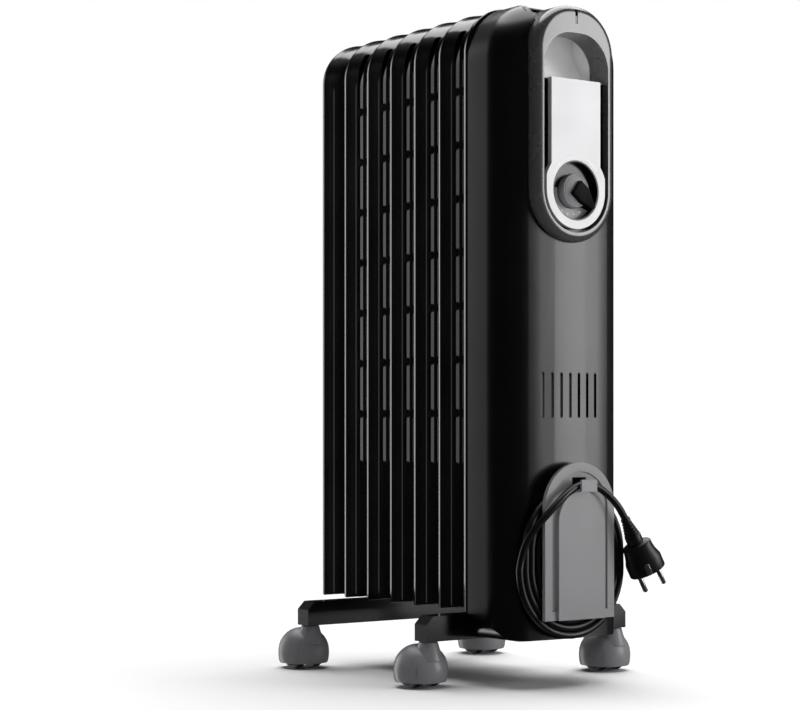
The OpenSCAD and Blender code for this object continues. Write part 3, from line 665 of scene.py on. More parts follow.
        # The room is lit up to a certain height, and black flags hang above it
        height = add_node(
            tree,
            "ShaderNodeMapRange",
            {"interpolation_type": "SMOOTHSTEP"},
            {
                "Value": axes.outputs["Z"],
                "From Min": self.flag_low,
                "From Max": self.flag_high,
                "To Min": self.room_strength,
                "To Max": self.flag_share * self.room_strength,
            },
        )
        room = add_node(
            tree,
            "ShaderNodeBackground",
            inputs={"Color": ramp.outputs["Color"], "Strength": height.outputs["Result"]},
        )
        backdrop = add_node(
            tree, "ShaderNodeBackground", inputs={"Color": linear("#ffffff"), "Strength": 1.0}
        )
        both = add_node(
            tree,
            "ShaderNodeMixShader",
            inputs={
                0: path.outputs["Is Camera Ray"],
                1: room.outputs["Background"],
                2: backdrop.outputs["Background"],
            },
        )
        add_node(tree, "ShaderNodeOutputWorld", inputs={"Surface": both.outputs["Shader"]})
        scene = bpy.context.scene
        scene.world = world
        scene.view_settings.view_transform = "Standard"


# ---------------------------------------------------------------- mains lead


@dataclass
class MainsLead:
    """Wound lead, its strain relief, and the plug that hangs over the hook."""

    palette: Palette
    panel_y: float  # plane of the front panel
    diameter: float = 7 * MM
    winding_x: float = -2 * MM
    winding_low_z: float = 112 * MM
    winding_high_z: float = 128 * MM
    first_radius: float = 38 * MM
    first_growth: float = 9 * MM
    growth: float = 7 * MM
    turns: float = 3.5
    points_a_turn: int = 48
    plane_gap: float = 5 * MM
    # Free end in mm: x, y from the front panel, z
    free_end: tuple[tuple[float, float, float], ...] = (
        (-64, -5, 124), (-61, -8, 138), (-54, -14, 153), (-43, -20, 167), (-29, -22, 180),
        (-14, -21, 189), (0, -20, 192), (14, -21, 190), (27, -23, 182), (38, -25, 171), (47, -25, 159),
    )
    plug_tilt: float = -30.0
    plug_twist: float = -33.0
    relief: float = 27 * MM
    body: float = 32 * MM
    body_radius: float = 18 * MM
    body_half_depth: float = 13 * MM
    pin_radius: float = 2.4 * MM
    pin_length: float = 19 * MM
    pin_gap: float = 19 * MM
    gland_above: float = 12 * MM
    gland_below: float = 15 * MM
    gland_radii: tuple[float, float] = (5.4 * MM, 4.3 * MM)  # at its two ends
    gland_ribs: int = 5
    relief_radii: tuple[float, float] = (8 * MM, 4.5 * MM)
    relief_ribs: int = 6
    rib_depth: float = 0.9 * MM
    plain_share: float = 0.3  # part of a sleeve before its first rib
    ribbed_share: float = 0.66
    # Top of the plug: rise as a share of the body, and width against the ring below
    plug_rings: tuple[tuple[float, float], ...] = ((0.22, 0.86), (0.18, 0.94), (0.14, 1.0), (0.06, 0.72))

    def build(self) -> None:
        line = self._route()
        cord = self._tube(line)
        relief = self._gland()
        plug = self._plug()
        pins = self._pins()
        for piece in (cord, relief, plug, pins):
            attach(piece, "root")
        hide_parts("cord_coil", "cord_tail")
        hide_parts("cord_gland")
        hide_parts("plug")
        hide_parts("plug_pins")

    def _radius(self, turn: float) -> float:
        """Radius of the winding after so many turns."""
        if turn <= 1:
            return self.first_radius + self.first_growth * turn
        return self.first_radius + self.first_growth + self.growth * (turn - 1)

    def _route(self) -> list[Vector]:
        """Middle line of the cord, from the gland round the hub and over the hook."""
        y = self.panel_y - self.plane_gap
        line = [Vector((self.winding_x + self.first_radius, y, self.winding_high_z))]
        steps = int(self.turns * self.points_a_turn)
        for k in range(steps + 1):
            turn = k / self.points_a_turn
            angle = -2 * math.pi * turn
            low = (turn % 1) <= 0.5
            centre = self.winding_low_z if low else self.winding_high_z
            r = self._radius(turn)
            line.append(Vector((self.winding_x + r * math.cos(angle), y, centre + r * math.sin(angle))))
        last = line[-1]
        ends = [Vector((x * MM, self.panel_y + dy * MM, z * MM)) for x, dy, z in self.free_end]
        smooth = catmull_rom([line[-2], last, *ends], 6)
        return [*line, *smooth[7:]]

    def _tube(self, line: list[Vector]) -> bpy.types.Object:
        """Sweeps the cord's round section along its line.

        Args:
            line: Middle line of the cord.

        Returns:
            The cord as a closed tube with UVs along it.
        """
        curve = bpy.data.curves.new("mains_cord", "CURVE")
        curve.dimensions = "3D"
        spline = curve.splines.new("POLY")
        spline.points.add(len(line) - 1)
        for point, place in zip(spline.points, line):
            point.co = (*place, 1.0)
        curve.bevel_depth = self.diameter / 2
        curve.bevel_resolution = 4
        curve.use_fill_caps = True
        obj = bpy.data.objects.new("mains_cord", curve)
        bpy.context.scene.collection.objects.link(obj)
        select_only(obj)
        bpy.ops.object.convert(target="MESH")
        obj = bpy.context.object
        bpy.ops.object.shade_smooth_by_angle(angle=math.radians(40))
        dress(obj, self.palette.get(CORD_PVC))
        return obj

    def _gland(self) -> bpy.types.Object:
        """Tapered and ribbed strain relief where the cord leaves the hub."""
        length = self.gland_above + self.gland_below
        relief = self._ribbed_sleeve("strain_relief", length, self.gland_radii, self.gland_ribs)
        place = Matrix.Translation(
            (self.winding_x + self.first_radius, self.panel_y - self.plane_gap,
             self.winding_high_z + self.gland_above)
        ) @ Matrix.Rotation(math.pi, 4, "X")
        return finish_piece(relief, "strain_relief", place, bevel=0.25 * MM, segments=2)

    def _ribbed_sleeve(
        self, name: str, length: float, radii: tuple[float, float], ribs: int
    ) -> bpy.types.Object:
        """Tapered sleeve with rings cut round it, from z zero upwards.

        Args:
            name: Name of the piece.
            length: Its length.
            radii: Radius at its lower and at its upper end.
            ribs: Number of rings.

        Returns:
            The sleeve, in object mode, dressed.
        """
        wide, slim = radii
        sleeve = add_primitive(
            "circle", name, vertices=32, radius=wide, fill_type="NGON", location=(0, 0, 0)
        )
        bpy.ops.object.mode_set(mode="EDIT")
        bpy.ops.mesh.select_all(action="SELECT")
        stations = [(length * self.plain_share, wide)]
        step = length * self.ribbed_share / ribs
        for k in range(ribs):
            start = length * self.plain_share + step * k
            r = wide + (slim - wide) * (k + 0.5) / ribs
            groove = r - self.rib_depth
            stations += [(start + 0.1 * step, groove), (start + 0.45 * step, groove)]
            stations.append((start + 0.5 * step, r))
        stations.append((length, slim))
        z, radius = 0.0, wide
        for to, r in stations:
            bpy.ops.mesh.extrude_region_move(TRANSFORM_OT_translate={"value": (0, 0, to - z)})
            factor = r / radius
            bpy.ops.transform.resize(
                value=(factor, factor, 1), center_override=(0, 0, to)
            )
            z, radius = to, r
        close_edit()
        dress(sleeve, self.palette.get(CORD_PVC))
        return sleeve

    def _plug_place(self) -> Matrix:
        """Place of the plug: its origin is the cord's end and its pins point down."""
        end = self.free_end[-1]
        return (
            Matrix.Translation((end[0] * MM, self.panel_y + end[1] * MM, end[2] * MM))
            @ Matrix.Rotation(math.radians(self.plug_tilt), 4, "Y")
            @ Matrix.Rotation(math.radians(self.plug_twist), 4, "Z")
        )

    def _plug(self) -> bpy.types.Object:
        """Plug body with a waist and a shoulder, and a ribbed relief."""
        relief = self._ribbed_sleeve("plug_relief", self.relief, self.relief_radii, self.relief_ribs)
        relief = finish_piece(
            relief, "plug_relief", Matrix.Translation((0, 0, -self.relief)), bevel=0.25 * MM, segments=2
        )
        body = add_primitive("cylinder", "plug_body", vertices=64, radius=self.body_radius,
                             depth=0.4 * self.body, location=(0, 0, -self.relief - 0.8 * self.body))
        bpy.ops.object.mode_set(mode="EDIT")
        bpy.ops.mesh.select_all(action="SELECT")
        bpy.ops.transform.resize(value=(1, self.body_half_depth / self.body_radius, 1))
        # The top face is drawn up in three rings: a grip waist, then the shoulder
        top = -self.relief - 0.6 * self.body
        pick(body, "FACE", lambda f: f.normal.z > 0.9)
        z = top
        for rise, factor in self.plug_rings:
            bpy.ops.mesh.extrude_region_move(
                TRANSFORM_OT_translate={"value": (0, 0, rise * self.body)}
            )
            z += rise * self.body
            bpy.ops.transform.resize(value=(factor, factor, 1), center_override=(0, 0, z))
        close_edit()
        dress(body, self.palette.get(CORD_PVC))
        body = finish_piece(body, "plug_body", bevel=1.2 * MM)
        plug = join_pieces([body, relief], "plug_body")
        return finish_piece(plug, "mains_plug", self._plug_place())

    def _pins(self) -> bpy.types.Object:
        """Two round pins with domed tips, and an earth strip on each side."""
        low = -self.relief - self.body
        parts = []
        for side in (-1, 1):
            pin = add_primitive(
                "cylinder", "pin", vertices=32, radius=self.pin_radius,
                depth=self.pin_length + 4 * MM,
                location=(side * self.pin_gap / 2, 0, low - self.pin_length / 2 + 2 * MM),
            )
            dress(pin, self.palette.get(NICKEL_PLATE))
            parts.append(finish_piece(pin, "pin", bevel=1.6 * MM, segments=4))
            strip = add_primitive(
                "cube", "earth_strip", size=1,
                location=(0, side * (self.body_half_depth - 0.2 * MM), low + 0.2 * self.body),
                scale=(5 * MM, 1.4 * MM, 0.36 * self.body),
            )
            dress(strip, self.palette.get(NICKEL_PLATE))
            parts.append(finish_piece(strip, "earth_strip", bevel=0.4 * MM))
        pins = join_pieces(parts, "plug_contacts")
        return finish_piece(pins, "plug_contacts", self._plug_place())


# ---------------------------------------------------------------- oil filled elements


@dataclass
class OilElements:
    """Welded elements with flared, rolled flanges, louvred slots and oil channels."""

    palette: Palette
    panel_y: float
    count: int = 7
    pitch: float = 40 * MM
    first_middle: float = 49.6 * MM
    half_width: float = 75 * MM
    top: float = 650 * MM
    bottom: float = 70.5 * MM
    top_corner: float = 56 * MM
    bottom_corner: float = 5 * MM
    least_corner: float = 0.5 * MM
    depth: float = 39.2 * MM
    wall: float = 0.8 * MM
    core_thickness: float = 1.6 * MM
    lap: float = 62.6 * MM  # rear edge of the housing, behind the panel
    channel_x: float = 38 * MM
    channel_radius: float = 7.8 * MM
    header_radius: float = 16 * MM
    header_low: float = 112 * MM
    header_high: float = 560 * MM
    front_boss: float = 26 * MM
    rear_boss: float = 10 * MM
    slot_pitch: float = 51.4 * MM
    slot_length: float = 43.8 * MM
    slot_width: float = 7.2 * MM
    slot_low: float = 212 * MM
    slot_top: float = 628 * MM
    slot_rows: int = 8
    slot_behind: float = 12.6 * MM
    slit_behind: float = 4.6 * MM
    slit_width: float = 2 * MM
    slot_tab_depth: float = 2.85 * MM  # from the outline in to the tab's front edge
    slit_tab_depth: float = 3.85 * MM
    tab_gap: float = 0.1 * MM
    tab_lap: float = 1 * MM  # how far a tab runs past the ends of its slot
    tab_tilt: float = 3.0  # degrees that a tab leans in towards the rear
    curved_steps: int = 10
    corner_steps: tuple[int, int] = (24, 6)  # in a top and in a bottom corner
    open_height: float = 13 * MM  # height of the open part under the flange
    open_margin: float = 18 * MM  # what is left of the flange at each bottom corner
    core_inset: float = 1.6 * MM
    first_core_inset: float = 3 * MM
    channel_round: float = 3 * MM
    header_round: float = 0.6 * MM
    # Flange section: distance behind its front edge and inset from the outline, in mm
    section: tuple[tuple[float, float], ...] = (
        (2.4, 12), (0.5, 11), (0.1, 8), (0.0, 5.6), (0.35, 4.7), (1.2, 4.2), (3.0, 3.8), (14.0, 2.3),
        (25.0, 1.1), (33.8, 0.2), (34.8, 0.05), (35.6, 0.0), (36.2, 0.06), (38.6, 0.6), (39.0, 0.8),
        (39.2, 1.4), (39.2, 4.0), (39.1, 7.0), (38.6, 11), (37.0, 12),
    )

    def build(self) -> None:
        """Makes every element and sets it in place of its CAD node."""
        slotted = self._flange("flange_slotted", self.section)
        self._cut_slots(slotted)
        plain = self._flange("flange_plain", self.section)
        front = self.lap - (self.first_middle - self.depth / 2)
        lapped = [(front / MM, 12.0), (front / MM, 5.0), (front / MM + 0.2, 1.6)]
        lapped += [step for step in self.section if step[0] > 33 or (step[0] > 30 and step[1] > 6)]
        first = self._flange("flange_lapped", tuple(lapped))
        for index in range(1, self.count + 1):
            y = self.panel_y + self.first_middle + (index - 1) * self.pitch
            source = first if index == 1 else plain if index == self.count else slotted
            flange = self._copy(source)
            flange.location = (0, y - self.depth / 2, 0)
            parts = [flange, self._core(index, y)]
            if source is slotted:
                parts += self._louvres(y - self.depth / 2)
            for part in parts:
                select_only(part)
                bpy.ops.object.transform_apply(location=True, rotation=True, scale=True)
            element = join_pieces(parts, f"oil_element_{index}")
            dress(element, self.palette.get(FIN_ENAMEL))
            element = finish_piece(element, f"oil_element_{index}", sharp=30.0)
            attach(element, "root")
            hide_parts(f"element_{index}")
        for source in (slotted, plain, first):
            bpy.data.objects.remove(source)
        LOG.info("elements: %d", self.count)

    def _copy(self, source: bpy.types.Object) -> bpy.types.Object:
        """Copy of a piece with its own mesh."""
        twin = source.copy()
        twin.data = source.data.copy()
        bpy.context.scene.collection.objects.link(twin)
        return twin

    def _plate(self, name: str, inset: float) -> bpy.types.Object:
        """Flat face with the element's outline, in edit mode, at y zero.

        Args:
            name: Name of the piece.
            inset: How far it is drawn in from the outline.

        Returns:
            The face as an object that is in edit mode.
        """
        width = 2 * (self.half_width - inset)
        height = self.top - self.bottom - 2 * inset
        middle = (self.top + self.bottom) / 2
        plate = add_primitive(
            "plane", name, size=1, location=(0, 0, middle), rotation=(math.radians(90), 0, 0)
        )
        bpy.ops.object.transform_apply(location=False, rotation=True, scale=True)
        bpy.ops.object.mode_set(mode="EDIT")
        bpy.ops.mesh.select_all(action="SELECT")
        bpy.ops.transform.resize(value=(width, 1, height), center_override=(0, 0, middle))
        top_steps, bottom_steps = self.corner_steps
        for low, radius, steps in (
            (False, self.top_corner, top_steps), (True, self.bottom_corner, bottom_steps),
        ):
            pick(plate, "VERT", lambda v, low=low: (v.co.z < -0.2) == low and abs(v.co.z) > 0.2)
            bpy.ops.mesh.bevel(
                offset=max(radius - inset, self.least_corner), segments=steps,
                affect="VERTICES", clamp_overlap=False,
            )
        return plate

    def _flange(self, name: str, section: tuple[tuple[float, float], ...]) -> bpy.types.Object:
        """Sweeps the flange's section round the outline and gives it its wall.

        Args:
            name: Name of the piece.
            section: Distance behind the front edge and inset, in mm, from front to rear.

        Returns:
            The flange, in object mode, with its front edge at y zero.
        """
        middle = (self.top + self.bottom) / 2
        y, inset = section[0][0] * MM, section[0][1] * MM
        flange = self._plate(name, inset)
        bpy.ops.mesh.select_all(action="SELECT")
        bpy.ops.transform.translate(value=(0, y, 0))
        half_height = (self.top - self.bottom) / 2
        for to_y, to_inset in section[1:]:
            bpy.ops.mesh.extrude_region_move(TRANSFORM_OT_translate={"value": (0, to_y * MM - y, 0)})
            y = to_y * MM
            across = (self.half_width - to_inset * MM) / (self.half_width - inset)
            upward = (half_height - to_inset * MM) / (half_height - inset)
            bpy.ops.transform.resize(value=(across, 1, upward), center_override=(0, y, middle))
            inset = to_inset * MM
        # The two end faces go, and the flange is left open between its bottom corners
        pick(flange, "FACE", lambda f: len(f.verts) > 8)
        bpy.ops.mesh.delete(type="FACE")
        low = self.bottom + self.open_height - middle
        reach = self.half_width - self.open_margin

        def at_bottom(face: bmesh.types.BMFace) -> bool:
            """Whether a face lies between the bottom corners."""
            centre = face.calc_center_median()
            return centre.z < low and abs(centre.x) < reach

        pick(flange, "FACE", at_bottom)
        bpy.ops.mesh.delete(type="FACE")
        close_edit()
        wall = flange.modifiers.new("wall", "SOLIDIFY")
        wall.thickness = self.wall
        wall.offset = -1
        select_only(flange)
        bpy.ops.object.modifier_apply(modifier=wall.name)
        bpy.ops.object.transform_apply(location=True, rotation=True, scale=True)
        return flange

    def _slots(self) -> list[tuple[float, float]]:
        """Lower and upper end of each slot in a column."""
        rows = []
        for row in range(self.slot_rows):
            low = self.slot_low + row * self.slot_pitch
            high = self.slot_top if row == self.slot_rows - 1 else low + self.slot_length
            rows.append((low, high))
        return rows

    def _cut_slots(self, flange: bpy.types.Object) -> None:
        """Cuts the slots and slits through both sides of a flange.

        Args:
            flange: Flange with its front edge at y zero.
        """
        cutters = []
        for low, high in self._slots():
            for behind, width in (
                (self.slot_behind, self.slot_width), (self.slit_behind, self.slit_width),
            ):
                bar = add_primitive(
                    "cube", "cutter", size=1,
                    location=(0, behind, (low + high) / 2),
                    scale=(2 * self.half_width + 20 * MM, width, high - low),
                )
                bpy.ops.object.transform_apply(location=True, rotation=True, scale=True)
                cutters.append(finish_piece(bar, "cutter", bevel=0.3 * width, segments=3))
        cutter = join_pieces(cutters, "cutter")
        carve(flange, cutter)

    def _side_x(self, z: float) -> float:
        """Half width of the outline at a height."""
        over = z - (self.top - self.top_corner)
        if over <= 0:
            return self.half_width
        return self.half_width - self.top_corner + math.sqrt(max(self.top_corner**2 - over**2, 0))

    def _louvres(self, front: float) -> list[bpy.types.Object]:
        """Tabs pressed a little inwards in each slot, which catch the light from the rear.

        Args:
            front: Place of the flange's front edge.

        Returns:
            One piece for each side.
        """
        tilt = math.radians(self.tab_tilt)
        pieces = []
        for side in (-1, 1):
            mesh = bmesh.new()
            for low, high in self._slots():
                for behind, width, depth in (
                    (self.slot_behind, self.slot_width - self.tab_gap, self.slot_tab_depth),
                    (self.slit_behind, self.slit_width - self.tab_gap, self.slit_tab_depth),
                ):
                    steps = self.curved_steps if high == self.slot_top else 1
                    rows = []
                    for k in range(steps + 1):
                        z = low - self.tab_lap + (high - low + 2 * self.tab_lap) * k / steps
                        x = self._side_x(z) - depth
                        near, far = front + behind - width / 2, front + behind + width / 2
                        drop = width * math.tan(tilt)
                        inner = x - self.wall
                        corners = ((x, near), (x - drop, far), (inner - drop, far), (inner, near))
                        rows.append([mesh.verts.new((side * across, y, z)) for across, y in corners])
                    add_bar(mesh, rows)
            pieces.append(built_piece(mesh, "louvres"))
        return pieces

    def _core(self, index: int, y: float) -> bpy.types.Object:
        """Core plate of an element with its oil channels and headers.

        Args:
            index: Number of the element, one at the front.
            y: Its middle plane.

        Returns:
            The core as one piece.
        """
        plate = self._plate("core", self.core_inset if index > 1 else self.first_core_inset)
        bpy.ops.mesh.select_all(action="SELECT")
        bpy.ops.mesh.extrude_region_move(
            TRANSFORM_OT_translate={"value": (0, self.core_thickness, 0)}
        )
        close_edit()
        plate.location.y += y - self.core_thickness / 2
        parts = [plate]
        height = self.header_high - self.header_low
        for x in (-self.channel_x, 0.0, self.channel_x):
            channel = add_primitive(
                "cylinder", "channel", vertices=32, radius=self.channel_radius, depth=height,
                location=(x, y, (self.header_high + self.header_low) / 2),
            )
            parts.append(finish_piece(channel, "channel", bevel=self.channel_round))
        front = self.front_boss if index == 1 else self.pitch / 2
        rear = self.rear_boss if index == self.count else self.pitch / 2
        for z in (self.header_low, self.header_high):
            across = add_primitive(
                "cylinder", "cross_channel", vertices=32, radius=self.channel_radius,
                depth=2 * self.channel_x + 2 * self.channel_radius, location=(0, y, z),
                rotation=(0, math.radians(90), 0),
            )
            parts.append(finish_piece(across, "cross_channel", bevel=self.channel_round))
            header = add_primitive(
                "cylinder", "header", vertices=48, radius=self.header_radius, depth=front + rear,
                location=(0, y + (rear - front) / 2, z), rotation=(math.radians(90), 0, 0),
            )
            parts.append(finish_piece(header, "header", bevel=self.header_round))
        return join_pieces(parts, "core")


# ---------------------------------------------------------------- control unit


@dataclass
class ControlUnit:
    """Silver surround with its handle arch, the printed marks and the dial."""

    palette: Palette
    panel_y: float
    half_width: float = 49 * MM
    bottom: float = 421 * MM
    top: float = 645 * MM
    proud: float = 9 * MM
    behind: float = 3 * MM
    arch_behind: float = 17 * MM
    arch_corner: float = 45 * MM
    rim: float = 9 * MM  # width of the surround round its opening
    rim_round: float = 7.6 * MM
    rim_steps: int = 8
    corner_steps: int = 28
    opening_half: float = 40 * MM
    opening_top: float = 619 * MM
    opening_corner: float = 34 * MM
    arch_low: float = 576 * MM
    floor_top: float = 574.6 * MM
    floor_at: float = -0.9 * MM
    floor_thickness: float = 1.4 * MM
    floor_lap: float = 1 * MM  # how far the floor runs under the surround
    arch_lap: float = 0.45 * MM  # how far the arch's block runs into the surround
    lens_gap: float = 0.25 * MM
    well_hole: float = 29 * MM
    dial_z: float = 470 * MM
    hub_radius: float = 16 * MM
    pointer_reach: float = 26 * MM
    pointer_half: float = 8 * MM
    pointer_rest: float = -38.0
    fascia_proud: float = 8.4 * MM
    knob_proud: float = 15 * MM
    hub_proud: float = 11 * MM
    well_depth: float = 9 * MM
    ring_rise: float = 0.8 * MM  # face of the dial's ring above the floor of its well
    knob_rise: float = 1.3 * MM  # underside of the knob above the floor of the well
    # Painted shade: a black sector laid over the upper part of the dial's ring, for the dark upper part
    # of the well
    painted_shade_reach: float = 27 * MM
    painted_shade_gap: float = 0.8 * MM
    painted_shade_thickness: float = 0.6 * MM
    painted_shade_angles: tuple[float, float] = (-8.0, 172.0)
    arc_radii: tuple[float, float] = (30.6 * MM, 33.6 * MM)
    arc_angles: tuple[float, float] = (38.0, 142.0)
    dot_count: int = 7
    dot_circle: float = 22 * MM
    dot_start: float = 200.0
    dot_step: float = 20.0
    dot_radius: float = 0.7 * MM
    dot_growth: float = 0.07 * MM
    print_height: float = 0.15 * MM
    sector_steps: int = 40
    wall: float = 1.2 * MM
    scoop_gap: float = 0.4 * MM
    cheek_gap: float = 0.3 * MM
    scoop_steps: int = 24

    def build(self) -> None:
        """Makes the surround, the knob and the marks."""
        surround = self._surround()
        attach(surround, "root")
        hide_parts("control_frame")
        knob = self._knob()
        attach(knob, "dial")
        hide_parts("knob")
        marks = self._marks()
        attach(marks, "root")
        liner = self._liner()
        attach(liner, "root")
        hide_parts("grip_liner")
        # Painted shade over the upper part of the dial's ring
        shade = self._painted_shade()
        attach(shade, "root")
        LOG.info("controls: surround, knob, shade and marks")

    def _slab(
        self, name: str, half: float, low: float, high: float, corners: tuple[float, float],
        front: float, rear: float,
    ) -> bpy.types.Object:
        """Upright slab with rounded corners.

        Args:
            name: Name of the slab.
            half: Half its width.
            low: Height of its lower end.
            high: Height of its upper end.
            corners: Radius of its lower and of its upper corners.
            front: Place of its front face, from the panel.
            rear: Place of its rear face, from the panel.

        Returns:
            The slab, in object mode.
        """
        slab = add_primitive("plane", name, size=1, rotation=(math.radians(90), 0, 0))
        bpy.ops.object.transform_apply(location=False, rotation=True, scale=True)
        bpy.ops.object.mode_set(mode="EDIT")
        bpy.ops.mesh.select_all(action="SELECT")
        bpy.ops.transform.resize(value=(2 * half, 1, high - low), center_override=(0, 0, 0))
        for lower, radius in ((True, corners[0]), (False, corners[1])):
            if radius:
                reach = (high - low) / 2 - 1 * MM
                pick(
                    slab,
                    "VERT",
                    lambda v, lower=lower, reach=reach: (v.co.z < 0) == lower and abs(v.co.z) > reach,
                )
                bpy.ops.mesh.bevel(
                    offset=min(radius, half - 0.05 * MM), segments=self.corner_steps,
                    affect="VERTICES", clamp_overlap=False,
                )
        bpy.ops.mesh.select_all(action="SELECT")
        bpy.ops.mesh.extrude_region_move(TRANSFORM_OT_translate={"value": (0, rear - front, 0)})
        bpy.ops.mesh.select_all(action="SELECT")
        bpy.ops.transform.translate(value=(0, self.panel_y + front, (low + high) / 2))
        close_edit()
        return slab

    def _round_rim(self, ring: bpy.types.Object) -> None:
        """Rounds the whole front edge of the surround.

        Args:
            ring: Surround, still without its opening.
        """
        front = self.panel_y - self.proud
        weights = ring.data.attributes.new("bevel_weight_edge", "FLOAT", "EDGE")
        for edge in ring.data.edges:
            if all(abs(ring.data.vertices[k].co.y - front) < 0.05 * MM for k in edge.vertices):
                weights.data[edge.index].value = 1.0
        rim = ring.modifiers.new("rim", "BEVEL")
        rim.width = self.rim_round
        rim.segments = self.rim_steps
        rim.limit_method = "WEIGHT"
        rim.use_clamp_overlap = False
        select_only(ring)
        bpy.ops.object.modifier_apply(modifier=rim.name)

    def _surround(self) -> bpy.types.Object:
        """Ring with a rounded outer edge, deeper at the handle arch, on a dark floor."""
        corners = (self.half_width, self.arch_corner)
        ring = self._slab(
            "surround", self.half_width, self.bottom, self.top, corners, -self.proud, self.behind
        )
        self._round_rim(ring)
        arch = self._slab(
            "arch", self.half_width, self.arch_low, self.top, (0.0, self.arch_corner),
            -self.arch_lap, self.arch_behind,
        )
        carve(ring, arch, "UNION")
        opening = self._slab(
            "opening", self.opening_half, self.bottom + self.rim, self.opening_top,
            (self.opening_half, self.opening_corner), -4 * self.proud, 4 * self.proud,
        )
        carve(ring, opening)
        low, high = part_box("pilot_lens")
        gap = self.lens_gap
        window = add_primitive(
            "cube", "window", size=1, location=(low + high) / 2,
            scale=(high.x - low.x + 2 * gap, 4 * (high.y - low.y), high.z - low.z + 2 * gap),
        )
        bpy.ops.object.transform_apply(location=True, rotation=True, scale=True)
        carve(ring, window)
        dress(ring, self.palette.get(SILVER_LACQUER))
        floor = self._slab(
            "floor", self.opening_half + self.floor_lap, self.bottom + self.rim - self.floor_lap,
            self.floor_top, (self.opening_half, 0.0), self.floor_at,
            self.floor_at + self.floor_thickness,
        )
        dress(floor, self.palette.get(BLACK_ABS_AND_PAINTED_SHADE))
        well = add_primitive(
            "cylinder", "well_hole", vertices=96, radius=self.well_hole, depth=4 * self.proud,
            location=(0, self.panel_y, self.dial_z), rotation=(math.radians(90), 0, 0),
        )
        carve(floor, well)
        ring = join_pieces([ring, floor], "control_surround")
        return finish_piece(ring, "control_surround", sharp=32.0)

    def _well_floor(self) -> float:
        """Place of the floor of the dial's well."""
        return self.panel_y - self.fascia_proud + self.well_depth

    def _knob(self) -> bpy.types.Object:
        """Domed hub with a fine ring, and a wedge pointer laid across it."""
        y = self.panel_y - self.knob_proud
        floor_y = self._well_floor() - self.knob_rise
        hub = add_primitive(
            "circle", "hub", vertices=96, radius=self.hub_radius, fill_type="NGON",
            location=(0, floor_y, self.dial_z), rotation=(math.radians(90), 0, 0),
        )
        bpy.ops.object.mode_set(mode="EDIT")
        bpy.ops.mesh.select_all(action="SELECT")
        depth = floor_y - (self.panel_y - self.hub_proud) - 3 * MM
        at, radius = floor_y, self.hub_radius
        rings = (
            (depth, 16.0), (0.5 * MM, 15.7), (0.3 * MM, 15.2), (0.0, 14.4), (-0.5 * MM, 14.3),
            (0.0, 13.9), (0.6 * MM, 13.8), (0.6 * MM, 11.5), (0.5 * MM, 8.5), (0.3 * MM, 5.0),
            (0.1 * MM, 2.0),
        )
        for step, to in rings:
            bpy.ops.mesh.extrude_region_move(TRANSFORM_OT_translate={"value": (0, -step, 0)})
            at -= step
            factor = to * MM / radius
            bpy.ops.transform.resize(value=(factor, 1, factor), center_override=(0, at, self.dial_z))
            radius = to * MM
        close_edit()
        dress(hub, self.palette.get(GREY_ABS))
        hub = finish_piece(hub, "hub", sharp=50.0)
        pointer = add_primitive("cube", "pointer", size=1)
        bpy.ops.object.mode_set(mode="EDIT")
        bpy.ops.mesh.select_all(action="SELECT")
        tail, nose = -5 * MM, 8 * MM
        bpy.ops.transform.resize(value=(nose - tail, floor_y - y, 2 * self.pointer_half))
        bpy.ops.transform.translate(value=((nose + tail) / 2, 0, 0))
        pick(pointer, "FACE", lambda f: f.normal.x > 0.9)
        reach = self.pointer_reach - nose
        bpy.ops.mesh.extrude_region_move(TRANSFORM_OT_translate={"value": (reach, 0, 0)})
        bpy.ops.transform.resize(
            value=(1, 0.75, 0.22), center_override=(self.pointer_reach, (floor_y - y) / 2, 0)
        )
        bpy.ops.object.mode_set(mode="OBJECT")
        dress(pointer, self.palette.get(SATIN_ABS))
        place = Matrix.Translation((0, (y + floor_y) / 2, self.dial_z)) @ Matrix.Rotation(
            math.radians(-self.pointer_rest), 4, "Y"
        )
        pointer = finish_piece(pointer, "pointer", place, bevel=0.8 * MM)
        knob = join_pieces([hub, pointer], "dial_knob")
        return finish_piece(knob, "dial_knob", sharp=40.0)

    def _sector(
        self, mesh: bmesh.types.BMesh, radii: tuple[float, float], angles: tuple[float, float],
        front: float, rear: float,
    ) -> None:
        """Adds a closed sector of a ring round the dial's axis to a mesh.

        Args:
            mesh: Mesh that takes it.
            radii: Its inner and outer radius.
            angles: Where it starts and ends, in degrees, seen from the front.
            front: Place of its front face.
            rear: Place of its rear face.
        """
        rows = []
        for k in range(self.sector_steps + 1):
            angle = math.radians(angles[0] + (angles[1] - angles[0]) * k / self.sector_steps)
            across, up = math.cos(angle), math.sin(angle)
            corners = ((radii[0], front), (radii[0], rear), (radii[1], rear), (radii[1], front))
            rows.append([mesh.verts.new((r * across, y, self.dial_z + r * up)) for r, y in corners])
        add_bar(mesh, rows)

